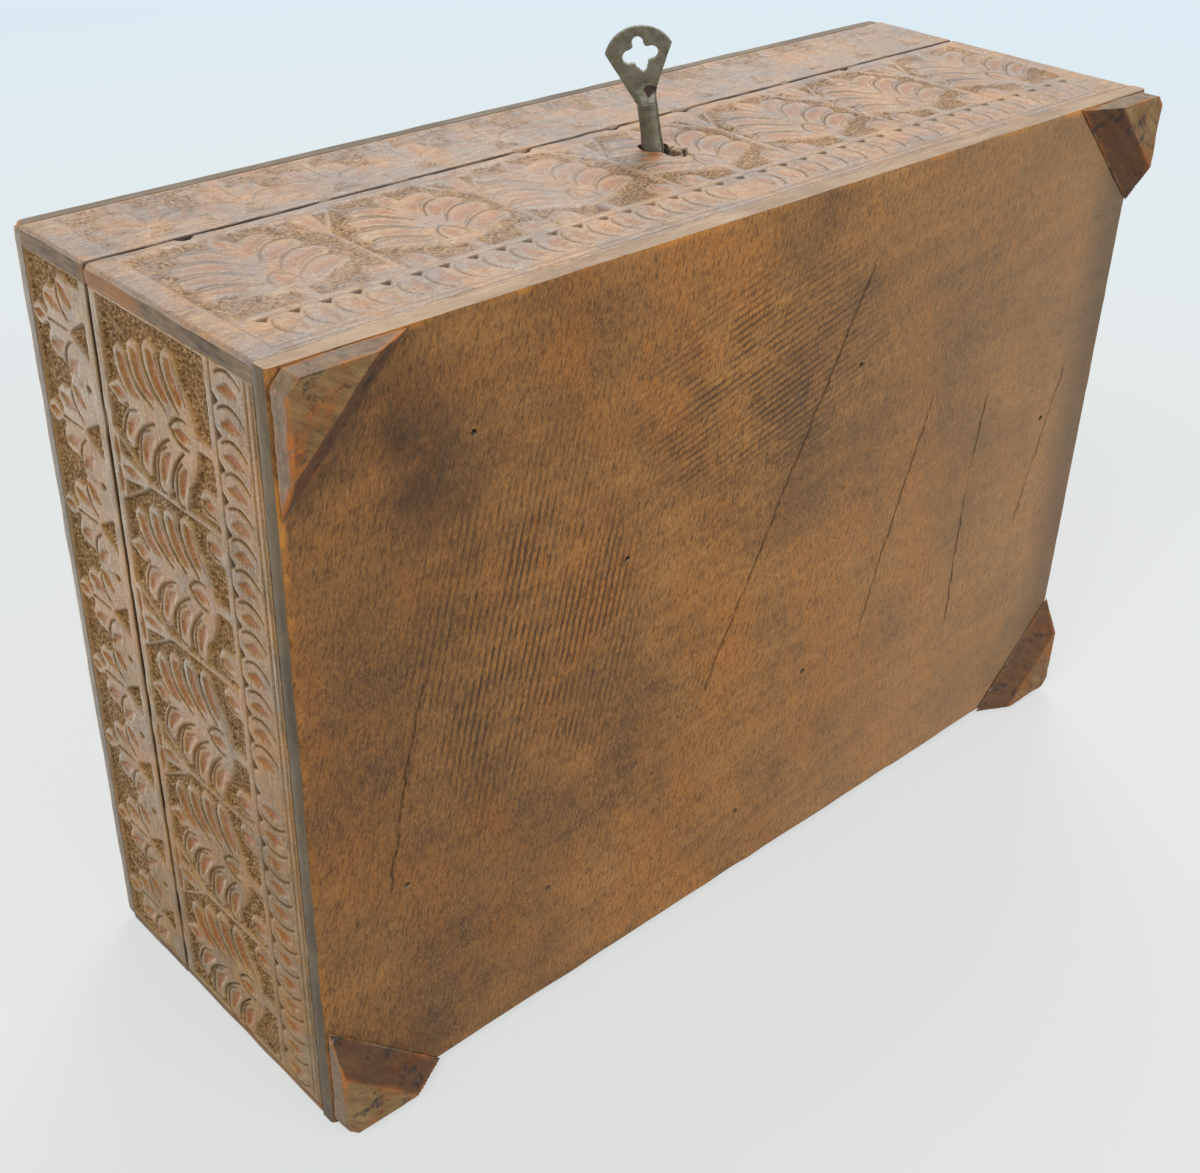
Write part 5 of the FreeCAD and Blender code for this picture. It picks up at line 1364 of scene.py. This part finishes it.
SHANK_SIDES = 48
SEAM_SIDE = np.radians(40)
SEAM_LENGTH = 12.5 * MM
BORE_RADIUS = 1.26 * MM
BORE_DEPTH = 30 * MM
SHANK_RINGS = ((0, 2.85, 0.6), (0.9, 2.87, 0.2), (4.0, 2.9, 0), (8.0, 2.95, 0),
               (10.6, 3.15, 0), (12.0, 3.3, 0), (14.5, 2.88, 0), (29.5, 2.88, 0))
mesh = bmesh.new()
rings = []
for depth, radius, skew in SHANK_RINGS:
    ring = bmesh.ops.create_circle(mesh, segments=SHANK_SIDES, radius=radius * MM)["verts"]
    for vert in ring:
        turned = (np.arctan2(vert.co.y, vert.co.x) - SEAM_SIDE) % (2 * np.pi)
        vert.co.xy *= 1 - 0.13 * turned / (2 * np.pi)
        vert.co.z = (depth - skew * np.cos(turned + SEAM_SIDE)) * MM
        vert.co.x -= SHANK_LEAN * max(0, 12.0 - depth) * MM
    rings.append(ring)
shank_length = key_high.y - key_low.y
for vert in rings[-1]:
    vert.co.z = shank_length
bridge(mesh, rings)
shank = as_object("rolled_shank", mesh)
bore = bmesh.new()
rod(bore, BORE_RADIUS, BORE_DEPTH, Matrix.Translation((0, 0, shank_length + 1.5 * MM)))
combine(shank, bore)
seam = bmesh.new()
solid_box(seam, (2.1 * MM, -0.3 * MM, -1 * MM), (4 * MM, 0.3 * MM, SEAM_LENGTH))
bmesh.ops.rotate(seam, verts=seam.verts, matrix=Matrix.Rotation(np.radians(30), 3, "Z"))
for vert in seam.verts:
    vert.co.x -= SHANK_LEAN * (SEAM_LENGTH - vert.co.z)
combine(shank, seam)
shank.data.transform(key_place)
age(shank, "key_shank", KEY_GRAIN, 0.07 * MM, KEY_DENTS, 9, KEY_SPARE)
fit(shank, "key_shank", "key", "key_steel", key_iron)
fit(softened_copy("key_bit", "stepped_bit", 0.18 * MM), "key_bit", "key", "key_steel", key_iron)


# Setting
# The box stands on a pale floor. For views from below, the floor lets the light and the eye
# through, and a pale ground behind the box takes its place.

NEAR_GLOW = (0.573, 0.597, 0.585, 1)
FAR_GLOW = (0.478, 0.588, 0.650, 1)
SHEET_GREY = (0.155, 0.155, 0.155, 1)


def pale_sheet(name, size, place, seen):
    """A large pale sheet whose material is opaque only where the mask made by seen is 1."""
    mesh = bmesh.new()
    bmesh.ops.create_grid(mesh, x_segments=1, y_segments=1, size=size)
    bmesh.ops.transform(mesh, matrix=place, verts=mesh.verts)
    sheet = as_object(name, mesh)
    finish = Finish(name)
    far = finish.add("ShaderNodeVectorMath", {"operation": "LENGTH"}, [finish.here], out="Value")
    glow = finish.paint(NEAR_GLOW, (far.between(0.3, 1.1), FAR_GLOW))
    finish.feed(finish.surface, {"Base Color": SHEET_GREY, "Roughness": 1.0,
                                 "Emission Color": glow, "Emission Strength": 1.0})
    clear = finish.add("ShaderNodeBsdfTransparent")
    solid = Signal(finish, finish.surface.outputs[0])
    finish.feed(finish.output, {
        "Surface": finish.add("ShaderNodeMixShader", {}, [seen(finish), clear, solid])})
    sheet.data.materials.append(finish.material)
    sheet.visible_shadow = sheet.visible_diffuse = sheet.visible_glossy = False


def seen_from_above(finish):
    """1 on the upper side."""
    return 1 - finish.add("ShaderNodeNewGeometry", out="Backfacing")


def seen_from_below(finish):
    """1 for a ray that has come up through the floor, or that meets the sheet below it."""
    through = finish.add("ShaderNodeLightPath", out="Transparent Depth")
    height = finish.add("ShaderNodeSeparateXYZ", {},
                        [finish.add("ShaderNodeNewGeometry", out="Position")], out="Z")
    under = height.math("LESS_THAN", 0.0)
    front_side = 1 - finish.add("ShaderNodeNewGeometry", out="Backfacing")
    return (through.math("GREATER_THAN", 0.5) + under).math("MINIMUM", 1.0) * front_side


FLOOR_HALF = 2.5
BEHIND_HALF = 3.0
BEHIND_GAP = 0.3 * MM
pale_sheet("floor", FLOOR_HALF, Matrix.Identity(4), seen_from_above)
behind_y = knuckle_high.y + BEHIND_GAP
pale_sheet("ground_behind", BEHIND_HALF, Matrix.Translation((0.6, behind_y, 0.6))
           @ Matrix.Rotation(np.pi / 2, 4, "X"), seen_from_below)

LIT_TONE = (0.42, 0.42, 0.42, 1)
SEEN_TONE = (0.65, 0.72, 0.77, 1)
world = bpy.data.worlds.new("studio")
bpy.context.scene.world = world
world.use_nodes = True
sky = Nodes(world.node_tree)
seen = [sky.add("ShaderNodeLightPath", out=f"Is {kind} Ray")
        for kind in ("Camera", "Glossy", "Transmission")]
tone = sky.paint(LIT_TONE, (seen[0].math("MAXIMUM", seen[1].math("MAXIMUM", seen[2])), SEEN_TONE))
sky.feed(world.node_tree.nodes["Background"], {"Color": tone})

LAMPS = (("window", (1.8, -3.0, 1.8), 1.8, 84), ("side", (-2.6, -2.4, -0.6), 1.6, 66),
         ("below", (0.6, -1.4, -3.0), 2.0, 56), ("above", (-0.6, 1.2, 3.2), 2.0, 56))
BOX_MIDDLE = Vector((0, 0, 0.05))
for name, place, size, power in LAMPS:
    lamp = bpy.data.lights.new(name, "AREA")
    lamp.shape, lamp.size, lamp.energy = "SQUARE", size, power
    holder = bpy.data.objects.new(name, lamp)
    holder.location = place
    holder.rotation_euler = (BOX_MIDDLE - Vector(place)).to_track_quat("-Z", "Y").to_euler()
    bpy.context.scene.collection.objects.link(holder)

PHOTO_WIDTH = 1200
FOCAL_LENGTH = 1669.09
camera_data = bpy.data.cameras.new("camera")
camera_data.sensor_fit = "HORIZONTAL"
camera_data.lens = camera_data.sensor_width * FOCAL_LENGTH / PHOTO_WIDTH
camera_data.clip_start = 0.01
camera = bpy.data.objects.new("camera", camera_data)
bpy.context.scene.collection.objects.link(camera)
camera.matrix_world = Matrix((
    (0.7352, 0.3474, -0.5821, -0.29838),
    (-0.0233, -0.8453, -0.5338, -0.23674),
    (-0.6775, 0.4060, -0.6134, -0.24163),
    (0, 0, 0, 1)))
bpy.context.scene.camera = camera
bpy.context.scene.view_settings.view_transform = "Standard"
